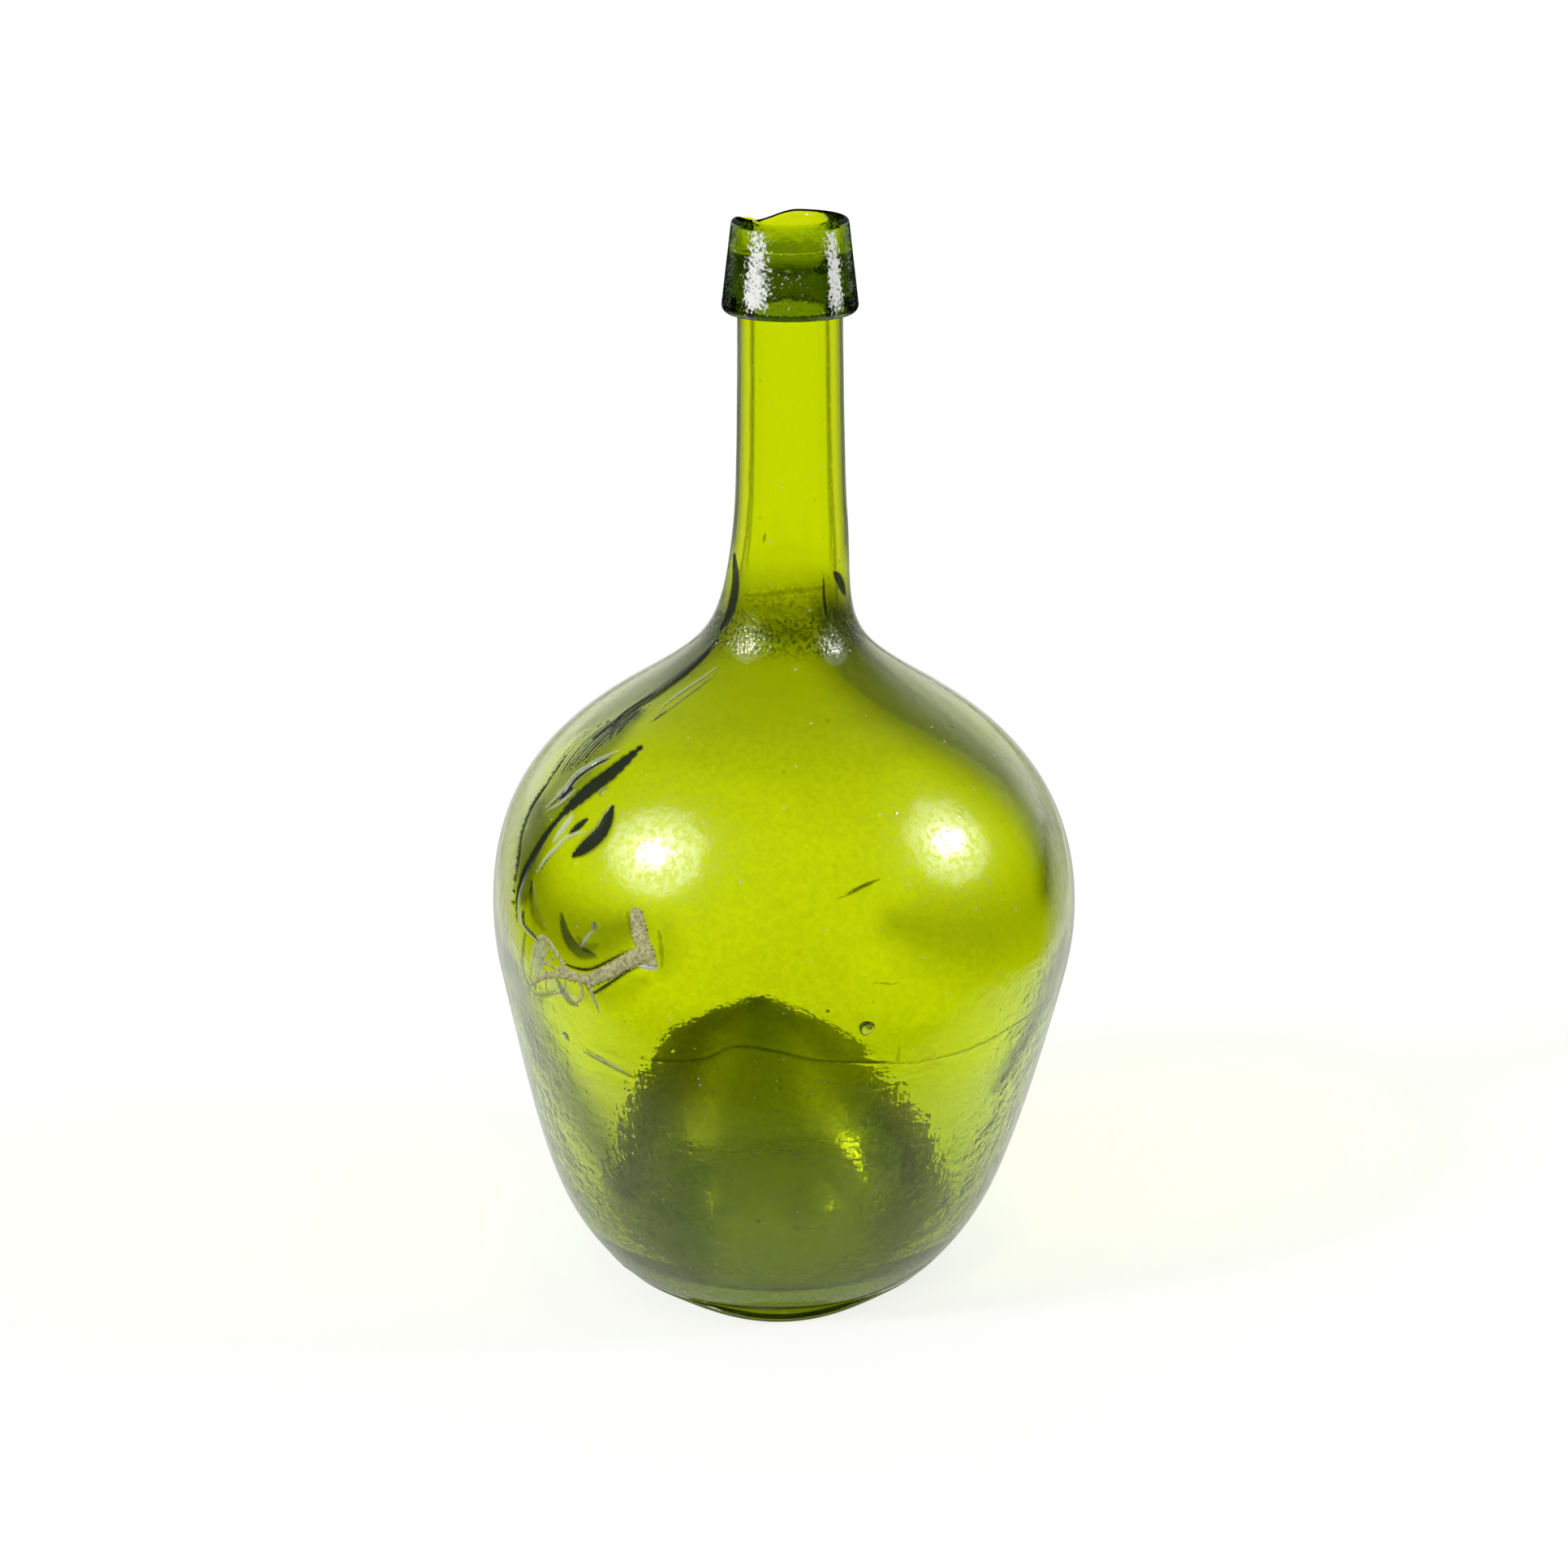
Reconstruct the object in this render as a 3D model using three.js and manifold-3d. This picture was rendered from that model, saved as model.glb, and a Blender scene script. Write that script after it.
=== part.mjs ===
// A hand-blown green glass demijohn with an applied collar.
// Millimetres, +Z up. The origin is on the floor under the middle of the belly.
// Azimuths are in degrees from +X towards +Y, and the side with the clay streak faces -Y.
// An outline is a list of points (radius, height), with the glass to the left of its direction.

import * as THREE from 'three';
import { mergeVertices } from 'three/addons/utils/BufferGeometryUtils.js';
import Module from 'manifold-3d';

const wasm = await Module();
wasm.setup();

// Foot of the body
const restRingRadius = 49.5; // middle of the flat ring that touches the floor
const restRingWidth = 4;
const heelRound = 9.5; // radius of the turn from the floor up into the side
const heelLean = 38; // degrees from upright where the side leaves that turn
const footEdgeRound = 2.5; // radius of the turn from the floor up into the hollow foot
const kickHeight = 82; // top of the hollow foot, under the glass
const kickDrift = 6; // how far its top leans towards -X
const kickLevel = 14; // depth of the top that leans as one
const kickCrown = 10; // how broad its top is
const kickPitch = 14; // degrees that its top falls away
const kickBulge = 19; // how far its side is pushed out over the rest ring
const kickFlank = 60; // height up to which its side stays steep
const kickTopWall = 6.5;
const kickFootWall = 9.5;
const troughHeight = 20; // inside, where the side and the hollow foot turn to meet
const troughDepth = 5;
const troughJoin = 1; // least distance from its middle height up to the walls' first rings

// Side, belly and shoulder of the body
const mouldLineRadius = 92.9; // rim of the dip mould, where the free blowing began
const mouldLineHeight = 103.5;
const mouldLineLean = 11.3; // degrees from upright
const mouldLineStep = 0.4; // how far the free-blown glass stands out over the moulded glass
const bellySwell = 2.1; // how far the belly stands out past the mould line
const bellyHeight = 123.2;
const shoulderRadius = 50.7; // where the shoulder turns from round to hollow
const shoulderHeight = 194.9;
const shoulderLean = 58; // degrees from upright
const lowerFullness = 22.7; // how long the side keeps the lean of the heel
const sideFullness = 75.3; // how long the side keeps the lean of the mould line
const beltFullness = 7; // how long the belt keeps its lean at each end
const bellyFullness = 36; // how long the belly stays upright
const shoulderFullness = 31.3; // how long the shoulder stays straight below its turn
const sweepFullness = 36.8; // how long the shoulder stays straight above its turn

// Neck of the body
const neckRootRadius = 17.7;
const neckRootHeight = 253.5;
const neckRootLean = 4.7; // degrees from upright
const neckRootFullness = 37.5;
const neckEndRadius = 15.9; // the sheared end, inside the collar
const neckEndHeight = 334;
const neckEndLean = 0.7; // degrees from upright
const neckFullness = 14;

// Thickness of the glass
const heelWall = 6;
const mouldLineWall = 4.2;
const bellyWall = 3.4;
const shoulderWall = 4.2;
const neckWall = 5;

// Lap fold down the shoulder
const foldAzimuth = -142;
const foldHalfWidth = 12; // millimetres along the glass
const foldBottom = 150;
const foldTop = 224;
const foldRise = 1.1;

// Collar, a second gather of glass laid round the end of the neck and tooled
const collarGrip = 18.7; // how much of the neck it covers
const lipRise = 9.7; // from the end of the neck up to the middle height of the lip
const collarBottomThickness = 5;
const collarTopThickness = 2; // beyond the radius of the neck, as the one at the bottom
const collarEdgeRound = 2.6;
const lipRound = 1.6;
const mouthEase = 0.2; // how far the mouth is wider than the end of the bore
const lipDip = 2.6; // the low place that the tool left in the lip
const lipDipAzimuth = 127;
const lipDipSpread = 46; // degrees to each side
const lipTilt = 0.6; // how far the crest of the lip is above its middle height
const lipCrestAzimuth = 72;
const lipReach = 8; // how far down the collar the lip's waves are felt

// Clay streak in the wall, as [azimuth, rise, width] along its middle
// The rise is from the height of the belly, and both are in streak widths.
const streakWidth = 6.5; // at its broadest
const streakStem = [
  [-144.5, 1.12, 0.7],
  [-139.5, 0.35, 0.92],
  [-133.5, 0.06, 1],
  [-126.5, 0.66, 0.77],
  [-121, 1.58, 0.77],
  [-116.2, 2.15, 0.85],
];
const streakArm = [
  [-117.4, 2.05, 0.77],
  [-117.2, 3.12, 0.55],
  [-118.4, 4.06, 0.71],
];
const streakTails = [
  [[-143, 1.05, 0.52], [-147.2, -0.11, 0.22]],
  [[-137, 0.2, 0.49], [-134.6, -1.05, 0.15]],
  [[-132, 0.12, 0.46], [-130.2, -0.95, 0.14]],
  [[-128, 0.51, 0.4], [-126.6, -0.71, 0.12]],
];
const streakDepth = 1.4;
const streakProud = 0.35; // how far it stands out of the glass
const pocketFront = 1.25; // how far its pocket is cut past the glass
const streakSteps = 3; // between two stations

// Bead of stray glass in the wall
const beadAzimuth = -75;
const beadHeight = 118.4;
const beadRadius = 2.4;
const beadThickness = 2.8;
const beadSink = 0.45; // how far its middle lies under the surface of the glass

// Pontil glass left under the top of the hollow foot
const pontilInnerRadius = 9;
const pontilOuterRadius = 14;
const pontilThickness = 2.2;
const pontilRagged = 0.5; // how uneven its broken edge is
const pontilTeeth = 5; // broad waves of the broken edge
const pontilChips = 11; // short waves of the broken edge

// How far the hand-blown glass wanders sideways (X), as [height, X]
const wander = [
  [0, -2.8],
  [bellyHeight, 0],
  [shoulderHeight, -1.1],
  [neckRootHeight, 2.1],
  [neckEndHeight, 1.8],
];

const seatGap = 0.3; // between pieces that are fused on the real thing
const slopeReach = 1; // distance over which a slope of the outline is taken
const mergeDistance = 1e-4; // corners nearer than this are one corner

// Facets round the axis, and along each part of an outline
const turnSteps = 60;
const outsideSteps = { side: 8, belt: 2, belly: 8, sweep: 8, neck: 3 };
const insideSteps = { side: 6, belt: 1, belly: 6, sweep: 6, neck: 2 };
const kickSteps = 9;
const footEdgeSteps = 2;
const heelSteps = 3;
const troughSteps = 5;
const collarEdgeSteps = 5;
const lipSteps = 4;
const beadTurnSteps = 16;
const beadRiseSteps = 10;

const bodyMaterial = new THREE.MeshStandardMaterial({
  color: 0x9cab0e,
  roughness: 0.06,
  metalness: 0,
  transparent: true,
  opacity: 0.6,
});
const collarMaterial = new THREE.MeshStandardMaterial({ color: 0x5d7212, roughness: 0.22, metalness: 0 });
const pontilMaterial = new THREE.MeshStandardMaterial({ color: 0x6b7d10, roughness: 0.35, metalness: 0 });
const clayMaterial = new THREE.MeshStandardMaterial({ color: 0x9a9468, roughness: 0.85, metalness: 0 });
const beadMaterial = new THREE.MeshStandardMaterial({ color: 0xa9b90f, roughness: 0.1, metalness: 0 });

const radians = THREE.MathUtils.degToRad;
const mix = THREE.MathUtils.lerp;

// Value at a height, eased between the stations of a list
function along(stations, height) {
  const last = stations.length - 1;
  if (height <= stations[0][0]) return stations[0][1];
  if (height >= stations[last][0]) return stations[last][1];
  const i = stations.findIndex((station) => station[0] > height);
  const [lowHeight, lowValue] = stations[i - 1];
  const [highHeight, highValue] = stations[i];
  return mix(lowValue, highValue, THREE.MathUtils.smoothstep(height, lowHeight, highHeight));
}

function leaning(degrees) {
  return new THREE.Vector2(Math.sin(radians(degrees)), Math.cos(radians(degrees)));
}

// Curve that leaves one point and reaches the next at given leans
function sweep(from, fromLean, fromFullness, to, toLean, toFullness) {
  const first = from.clone().addScaledVector(leaning(fromLean), fromFullness);
  const second = to.clone().addScaledVector(leaning(toLean), -toFullness);
  return new THREE.CubicBezierCurve(from, first, second, to);
}

function arc(centreX, centreY, radiusX, radiusY, fromDegrees, toDegrees, steps) {
  const start = radians(fromDegrees);
  const end = radians(toDegrees);
  const clockwise = toDegrees < fromDegrees;
  return new THREE.EllipseCurve(centreX, centreY, radiusX, radiusY, start, end, clockwise).getPoints(steps);
}

// Outline moved to the left of its direction, square to it
function thicken(outline, thicknessAt) {
  return outline.map((point, i) => {
    const before = outline[Math.max(i - 1, 0)];
    const after = outline[Math.min(i + 1, outline.length - 1)];
    const direction = after.clone().sub(before).normalize();
    const left = new THREE.Vector2(-direction.y, direction.x);
    return point.clone().addScaledVector(left, thicknessAt(point, i));
  });
}

// Point of an outline at a height, between its listed points
function atHeight(outline, height) {
  const rising = outline[0].y < outline.at(-1).y;
  const i = outline.findIndex((point) => (rising ? point.y > height : point.y < height));
  const next = outline[Math.max(i < 0 ? outline.length - 1 : i, 1)];
  const before = outline[outline.indexOf(next) - 1];
  const share = (height - before.y) / (next.y - before.y);
  return new THREE.Vector2(mix(before.x, next.x, share), height);
}

// Outside of the side, from the heel up to the sheared end of the neck
const heelX = restRingRadius + restRingWidth / 2;
const heelTop = new THREE.Vector2(
  heelX + heelRound * Math.cos(radians(heelLean)),
  heelRound - heelRound * Math.sin(radians(heelLean)),
);
const bellyRadius = mouldLineRadius + bellySwell;
const mouldRim = new THREE.Vector2(mouldLineRadius - mouldLineStep, mouldLineHeight - mouldLineStep);
const mouldLine = new THREE.Vector2(mouldLineRadius, mouldLineHeight);
const belly = new THREE.Vector2(bellyRadius, bellyHeight);
const shoulder = new THREE.Vector2(shoulderRadius, shoulderHeight);
const neckRoot = new THREE.Vector2(neckRootRadius, neckRootHeight);
const neckEnd = new THREE.Vector2(neckEndRadius, neckEndHeight);

function sideOutline(steps) {
  const side = sweep(heelTop, heelLean, lowerFullness, mouldRim, mouldLineLean, sideFullness);
  const belt = sweep(mouldLine, mouldLineLean, beltFullness, belly, 0, beltFullness);
  const round = sweep(belly, 0, bellyFullness, shoulder, -shoulderLean, shoulderFullness);
  const hollow = sweep(shoulder, -shoulderLean, sweepFullness, neckRoot, -neckRootLean, neckRootFullness);
  const neck = sweep(neckRoot, -neckRootLean, neckFullness, neckEnd, -neckEndLean, neckFullness);
  return [
    ...side.getSpacedPoints(steps.side),
    ...belt.getSpacedPoints(steps.belt),
    ...round.getSpacedPoints(steps.belly).slice(1),
    ...hollow.getSpacedPoints(steps.sweep).slice(1),
    ...neck.getSpacedPoints(steps.neck).slice(1),
  ];
}

const outside = sideOutline(outsideSteps);
const wall = [
  [heelTop.y, heelWall],
  [mouldLineHeight, mouldLineWall],
  [bellyHeight, bellyWall],
  [shoulderHeight, shoulderWall],
  [neckRootHeight, neckWall],
];
const insideWall = thicken(sideOutline(insideSteps), (point) => along(wall, point.y));

// Hollow foot, from its top on the axis down to the floor
const footX = restRingRadius - restRingWidth / 2;
const kickBase = new THREE.Vector2(footX - footEdgeRound, footEdgeRound);
const kickUnder = new THREE.CubicBezierCurve(
  new THREE.Vector2(0, kickHeight),
  new THREE.Vector2(kickCrown, kickHeight - kickCrown * Math.tan(radians(kickPitch))),
  new THREE.Vector2(kickBase.x + kickBulge, kickFlank),
  kickBase,
).getSpacedPoints(kickSteps);
const kickTop = thicken(kickUnder, (point, i) => mix(kickTopWall, kickFootWall, i / kickSteps));
kickTop[0].x = 0;

// A closed mesh with shared corners and no flat triangles, ready to be joined or cut
function solid(geometry) {
  const bare = geometry.clone();
  bare.deleteAttribute('normal');
  bare.deleteAttribute('uv');
  const merged = mergeVertices(bare, mergeDistance);
  const corners = [];
  for (let i = 0; i < merged.index.count; i += 3) {
    const corner = [0, 1, 2].map((k) => merged.index.getX(i + k));
    if (new Set(corner).size === 3) corners.push(...corner);
  }
  const vertProperties = new Float32Array(merged.attributes.position.array);
  const triVerts = new Uint32Array(corners);
  return new wasm.Manifold(new wasm.Mesh({ numProp: 3, vertProperties, triVerts }));
}

function geometryOf(manifold) {
  const mesh = manifold.getMesh();
  const geometry = new THREE.BufferGeometry();
  geometry.setAttribute('position', new THREE.BufferAttribute(mesh.vertProperties, 3));
  geometry.setIndex(new THREE.BufferAttribute(mesh.triVerts, 1));
  geometry.computeVertexNormals();
  return geometry;
}

// How far along X the hollow foot stands at a height
function kickPlace(height) {
  const lean = THREE.MathUtils.smoothstep(height, troughHeight, kickHeight - kickLevel);
  return along(wander, height) - kickDrift * lean;
}

// Outline turned round the Z axis
function turned(outline) {
  return new THREE.LatheGeometry(outline, turnSteps).rotateX(Math.PI / 2);
}

function reshape(geometry, move) {
  const position = geometry.attributes.position;
  const point = new THREE.Vector3();
  for (let i = 0; i < position.count; i++) {
    move(point.fromBufferAttribute(position, i));
    position.setXYZ(i, point.x, point.y, point.z);
  }
  return geometry;
}

function azimuthOf(point) {
  return THREE.MathUtils.radToDeg(Math.atan2(point.y, point.x));
}

function turnBetween(azimuth, other) {
  return Math.abs(THREE.MathUtils.euclideanModulo(azimuth - other + 180, 360) - 180);
}

// One at the middle, easing to nothing at the reach
function swell(distance, reach) {
  return distance < reach ? 0.5 + 0.5 * Math.cos((Math.PI * distance) / reach) : 0;
}

function foldAt(point) {
  const radius = Math.hypot(point.x, point.y);
  const across = radius * radians(turnBetween(azimuthOf(point), foldAzimuth));
  const middle = (foldBottom + foldTop) / 2;
  const halfLength = (foldTop - foldBottom) / 2;
  const lengthwise = Math.sqrt(swell(Math.abs(point.z - middle), halfLength));
  return foldRise * swell(across, foldHalfWidth) * lengthwise;
}

// Place on the outside of the glass, raised square to it by a lift
function onGlass(azimuth, height, lift) {
  const low = atHeight(outside, height - slopeReach);
  const here = atHeight(outside, height);
  const rise = here.clone().sub(low).normalize();
  const radius = here.x + rise.y * lift;
  return new THREE.Vector3(
    along(wander, height) + radius * Math.cos(radians(azimuth)),
    radius * Math.sin(radians(azimuth)),
    height - rise.x * lift,
  );
}

// Strip let into the glass along stations, grown by a clearance on every side but the front
function strip(stations, clearance, front) {
  const path = new THREE.CatmullRomCurve3(
    stations.map(([azimuth, rise, width]) => (
      new THREE.Vector3(azimuth, bellyHeight + rise * streakWidth, width * streakWidth)
    )),
  );
  const steps = streakSteps * (stations.length - 1);
  const back = -streakDepth - clearance;
  const section = [[1, front], [-1, front], [-1, back], [1, back]]; // side, lift
  const sides = section.length;
  const vertices = [];
  const corners = [];
  for (let i = 0; i <= steps; i++) {
    const [azimuth, height, width] = path.getPoint(i / steps).toArray();
    const before = path.getPoint(Math.max(i - 0.5, 0) / steps);
    const after = path.getPoint(Math.min(i + 0.5, steps) / steps);
    const perDegree = atHeight(outside, height).x * radians(1);
    const forward = new THREE.Vector2((after.x - before.x) * perDegree, after.y - before.y).normalize();
    const ends = i === 0 ? -clearance : i === steps ? clearance : 0;
    const half = width / 2 + clearance;
    for (const [side, lift] of section) {
      const right = forward.x * ends + forward.y * side * half;
      const up = forward.y * ends - forward.x * side * half;
      vertices.push(...onGlass(azimuth + right / perDegree, height + up, lift).toArray());
    }
    if (i === 0) continue;
    for (let k = 0; k < sides; k++) {
      const a = sides * (i - 1) + k;
      const b = sides * (i - 1) + ((k + 1) % sides);
      corners.push(a, b + sides, b, a, a + sides, b + sides);
    }
  }
  for (const [k, next] of [[1, 2], [2, 3]]) {
    const end = sides * steps;
    corners.push(0, k, next, end, end + next, end + k);
  }
  const geometry = new THREE.BufferGeometry();
  geometry.setAttribute('position', new THREE.Float32BufferAttribute(vertices, 3));
  geometry.setIndex(corners);
  return solid(geometry);
}

function streak(clearance, front) {
  const strips = [streakStem, streakArm, ...streakTails].map((stations) => strip(stations, clearance, front));
  return strips.reduce((joined, next) => joined.add(next));
}

// Bead of stray glass, a flat drop whose middle lies just under the surface
function beadShape(clearance) {
  const drop = new THREE.SphereGeometry(1, beadTurnSteps, beadRiseSteps).rotateX(Math.PI / 2);
  return drop.scale(beadRadius + clearance, beadRadius + clearance, beadThickness / 2 + clearance);
}

function seatBead(object) {
  object.position.copy(onGlass(beadAzimuth, beadHeight, -beadSink));
  const outwards = onGlass(beadAzimuth, beadHeight, beadRadius).sub(onGlass(beadAzimuth, beadHeight, 0));
  object.quaternion.setFromUnitVectors(new THREE.Vector3(0, 0, 1), outwards.normalize());
  object.updateMatrix();
  return object;
}

function makeBody() {
  const wallDown = insideWall.filter((point) => point.y > troughHeight + troughJoin).reverse();
  const kickUp = kickTop.filter((point) => point.y > troughHeight + troughJoin).reverse();
  const wallFoot = atHeight(insideWall, troughHeight);
  const kickFoot = atHeight(kickTop, troughHeight);
  const troughX = (wallFoot.x + kickFoot.x) / 2;
  const troughHalf = (wallFoot.x - kickFoot.x) / 2;
  const outline = [
    ...kickUnder,
    ...arc(footX, footEdgeRound, footEdgeRound, footEdgeRound, 180, 270, footEdgeSteps).slice(1),
    ...arc(heelX, heelRound, heelRound, heelRound, 270, 360 - heelLean, heelSteps),
    ...outside.slice(1),
    ...wallDown,
    ...arc(troughX, troughHeight, troughHalf, troughDepth, 360, 180, troughSteps),
    ...kickUp,
  ];
  const blown = reshape(turned(outline), (point) => {
    const radius = Math.hypot(point.x, point.y);
    const surface = atHeight(outside, point.z);
    if (point.z > foldBottom && radius > surface.x - along(wall, point.z) / 2) {
      const raised = 1 + foldAt(point) / radius;
      point.x *= raised;
      point.y *= raised;
    }
    const ofFoot = radius < troughX && point.z <= kickTop[0].y;
    point.x += ofFoot ? kickPlace(point.z) : along(wander, point.z);
  });
  const streakPocket = streak(seatGap, pocketFront);
  const beadPocket = solid(beadShape(seatGap).applyMatrix4(seatBead(new THREE.Object3D()).matrix));
  const body = solid(blown).subtract(streakPocket).subtract(beadPocket);
  const mesh = new THREE.Mesh(geometryOf(body), bodyMaterial);
  mesh.name = 'glass_body';
  return mesh;
}

function makeStreak() {
  const mesh = new THREE.Mesh(geometryOf(streak(0, streakProud)), clayMaterial);
  mesh.name = 'clay_streak';
  return mesh;
}

function makeBead() {
  const mesh = new THREE.Mesh(beadShape(0), beadMaterial);
  mesh.name = 'stray_glass_bead';
  return seatBead(mesh);
}

// The collar stands on its own bottom edge, and its seat follows the neck
function makeCollar() {
  const height = collarGrip + lipRise;
  const bottom = neckEndHeight - collarGrip;
  const bottomRadius = neckEndRadius + collarBottomThickness;
  const topRadius = neckEndRadius + collarTopThickness;
  const mouthRadius = neckEndRadius - neckWall + mouthEase;
  const edgeX = bottomRadius - collarEdgeRound;
  const lip = height - lipRound;
  const taper = [1 / 3, 2 / 3]; // rings between the rounded edges, as shares of the height
  const seatBottom = new THREE.Vector2(atHeight(outside, bottom).x + seatGap, 0);
  const outline = [
    seatBottom,
    ...arc(edgeX, collarEdgeRound, collarEdgeRound, collarEdgeRound, 270, 360, collarEdgeSteps),
    ...taper.map((share) => new THREE.Vector2(mix(bottomRadius, topRadius, share), height * share)),
    ...arc(topRadius - lipRound, lip, lipRound, lipRound, 0, 90, lipSteps),
    ...arc(mouthRadius + lipRound, lip, lipRound, lipRound, 90, 180, lipSteps),
    new THREE.Vector2(mouthRadius, collarGrip + seatGap),
    new THREE.Vector2(neckEndRadius + seatGap, collarGrip + seatGap),
    seatBottom,
  ];
  const tooled = reshape(turned(outline), (point) => {
    const azimuth = azimuthOf(point);
    const felt = THREE.MathUtils.smoothstep(point.z, height - lipReach, height);
    const dip = lipDip * swell(turnBetween(azimuth, lipDipAzimuth), lipDipSpread);
    const tilt = lipTilt * Math.cos(radians(azimuth - lipCrestAzimuth));
    point.z += felt * (tilt - dip);
  });
  const mesh = new THREE.Mesh(tooled, collarMaterial);
  mesh.name = 'applied_collar';
  mesh.position.set(along(wander, bottom), 0, bottom);
  return mesh;
}

// The pontil glass follows the hollow foot from below, with a broken edge
function makePontil() {
  const underFoot = (radius) => {
    const i = Math.max(kickUnder.findIndex((point) => point.x > radius), 1);
    const [before, next] = [kickUnder[i - 1], kickUnder[i]];
    return mix(before.y, next.y, (radius - before.x) / (next.x - before.x)) - kickHeight - seatGap;
  };
  const middle = (pontilInnerRadius + pontilOuterRadius) / 2;
  const inner = new THREE.Vector2(pontilInnerRadius, underFoot(pontilInnerRadius));
  const outer = new THREE.Vector2(pontilOuterRadius, underFoot(pontilOuterRadius));
  const outline = [
    inner,
    new THREE.Vector2(pontilInnerRadius + pontilRagged, inner.y - pontilThickness),
    new THREE.Vector2(middle, underFoot(middle) - pontilThickness - pontilRagged),
    new THREE.Vector2(pontilOuterRadius - pontilRagged, outer.y - pontilThickness),
    outer,
    new THREE.Vector2(middle, underFoot(middle)),
    inner,
  ];
  const broken = reshape(turned(outline), (point) => {
    const turn = radians(azimuthOf(point));
    const radius = Math.hypot(point.x, point.y);
    const depth = (underFoot(radius) - point.z) / pontilThickness;
    point.z -= (depth * pontilRagged * (Math.sin(pontilTeeth * turn) + Math.sin(pontilChips * turn))) / 2;
  });
  const mesh = new THREE.Mesh(broken, pontilMaterial);
  mesh.name = 'pontil_scar';
  mesh.position.set(kickPlace(kickHeight), 0, kickHeight);
  return mesh;
}

const demijohn = new THREE.Group();
demijohn.add(makeBody(), makeCollar(), makePontil(), makeStreak(), makeBead());

export default demijohn;
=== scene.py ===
import math

import bmesh
import bpy
import numpy as np
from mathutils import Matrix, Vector
from mathutils.geometry import interpolate_bezier


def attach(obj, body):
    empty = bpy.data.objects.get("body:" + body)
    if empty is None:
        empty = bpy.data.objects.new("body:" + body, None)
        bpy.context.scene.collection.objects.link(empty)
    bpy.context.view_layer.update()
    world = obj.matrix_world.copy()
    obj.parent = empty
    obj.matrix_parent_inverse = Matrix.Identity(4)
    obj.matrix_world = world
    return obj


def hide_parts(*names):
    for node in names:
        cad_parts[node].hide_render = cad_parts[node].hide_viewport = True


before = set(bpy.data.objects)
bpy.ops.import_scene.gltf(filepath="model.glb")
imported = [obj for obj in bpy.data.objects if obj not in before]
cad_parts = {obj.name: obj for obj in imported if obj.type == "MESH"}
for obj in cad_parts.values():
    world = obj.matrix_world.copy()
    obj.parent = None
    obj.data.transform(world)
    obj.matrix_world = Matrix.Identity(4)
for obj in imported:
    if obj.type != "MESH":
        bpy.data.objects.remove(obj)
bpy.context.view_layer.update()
mm = 0.001


# Curves and outlines, as points (radius, height)

def smooth(value, low, high):
    share = min(max((value - low) / (high - low), 0), 1)
    return share * share * (3 - 2 * share)


def mix(a, b, share):
    return a + (b - a) * share


def leaning(degrees):
    return Vector((math.sin(math.radians(degrees)), math.cos(math.radians(degrees))))


def sweep(start, startLean, startFullness, end, endLean, endFullness):
    # curve that leaves one point and reaches the next at given leans
    first = start + leaning(startLean) * startFullness
    second = end - leaning(endLean) * endFullness
    return bezier(start, first, second, end)


def bezier(start, first, second, end):
    corners = [Vector((p.x, p.y, 0)) for p in (start, first, second, end)]
    return [Vector((p.x, p.y)) for p in interpolate_bezier(*corners, 400)]


def arc(centre, radiusX, radiusY, fromDegrees, toDegrees, steps):
    points = []
    for i in range(steps + 1):
        turn = math.radians(mix(fromDegrees, toDegrees, i / steps))
        points.append(centre + Vector((radiusX * math.cos(turn), radiusY * math.sin(turn))))
    return points


def evenly(points, spacing):
    # the same line with its points at one distance from each other
    lengths = [0]
    for before, after in zip(points, points[1:]):
        lengths.append(lengths[-1] + (after - before).length)
    count = max(round(lengths[-1] / spacing), 1)
    spaced, i = [], 0
    for k in range(count + 1):
        wanted = lengths[-1] * k / count
        while i < len(lengths) - 2 and lengths[i + 1] < wanted:
            i += 1
        share = (wanted - lengths[i]) / max(lengths[i + 1] - lengths[i], 1e-9)
        spaced.append(points[i].lerp(points[i + 1], share))
    return spaced


def flowing(points, steps=6):
    # a smooth line through the points
    line = []
    ends = [points[0]] + list(points) + [points[-1]]
    for a, b, c, d in zip(ends, ends[1:], ends[2:], ends[3:]):
        for k in range(steps):
            t = k / steps
            line.append(tuple(
                0.5 * (2 * q + (r - p) * t + (2 * p - 5 * q + 4 * r - s) * t ** 2
                       + (3 * q - p - 3 * r + s) * t ** 3)
                for p, q, r, s in zip(a, b, c, d)))
    return line + [tuple(points[-1])]


def thicken(outline, thicknessAt):
    # the outline moved to the left of its direction, square to it
    moved = []
    for i, point in enumerate(outline):
        before, after = outline[max(i - 1, 0)], outline[min(i + 1, len(outline) - 1)]
        direction = (after - before).normalized()
        moved.append(point + Vector((-direction.y, direction.x)) * thicknessAt(point))
    return moved


def along(stations, height):
    # value at a height, eased between the stations of a list
    if height <= stations[0][0]:
        return stations[0][1]
    for (low, lowValue), (high, highValue) in zip(stations, stations[1:]):
        if height <= high:
            return mix(lowValue, highValue, smooth(height, low, high))
    return stations[-1][1]


def radiusAt(outline, height):
    # radius of a rising outline at a height
    low, high = 0, len(outline) - 1
    while high - low > 1:
        middle = (low + high) // 2
        if outline[middle].y > height:
            high = middle
        else:
            low = middle
    a, b = outline[low], outline[high]
    return mix(a.x, b.x, (height - a.y) / (b.y - a.y))


def turnBetween(azimuth, other):
    return abs((azimuth - other + 180) % 360 - 180)


def swell(distance, reach):
    # one at the middle, easing to nothing at the reach
    return 0.5 + 0.5 * math.cos(math.pi * distance / reach) if distance < reach else 0


# Shader nodes

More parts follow.
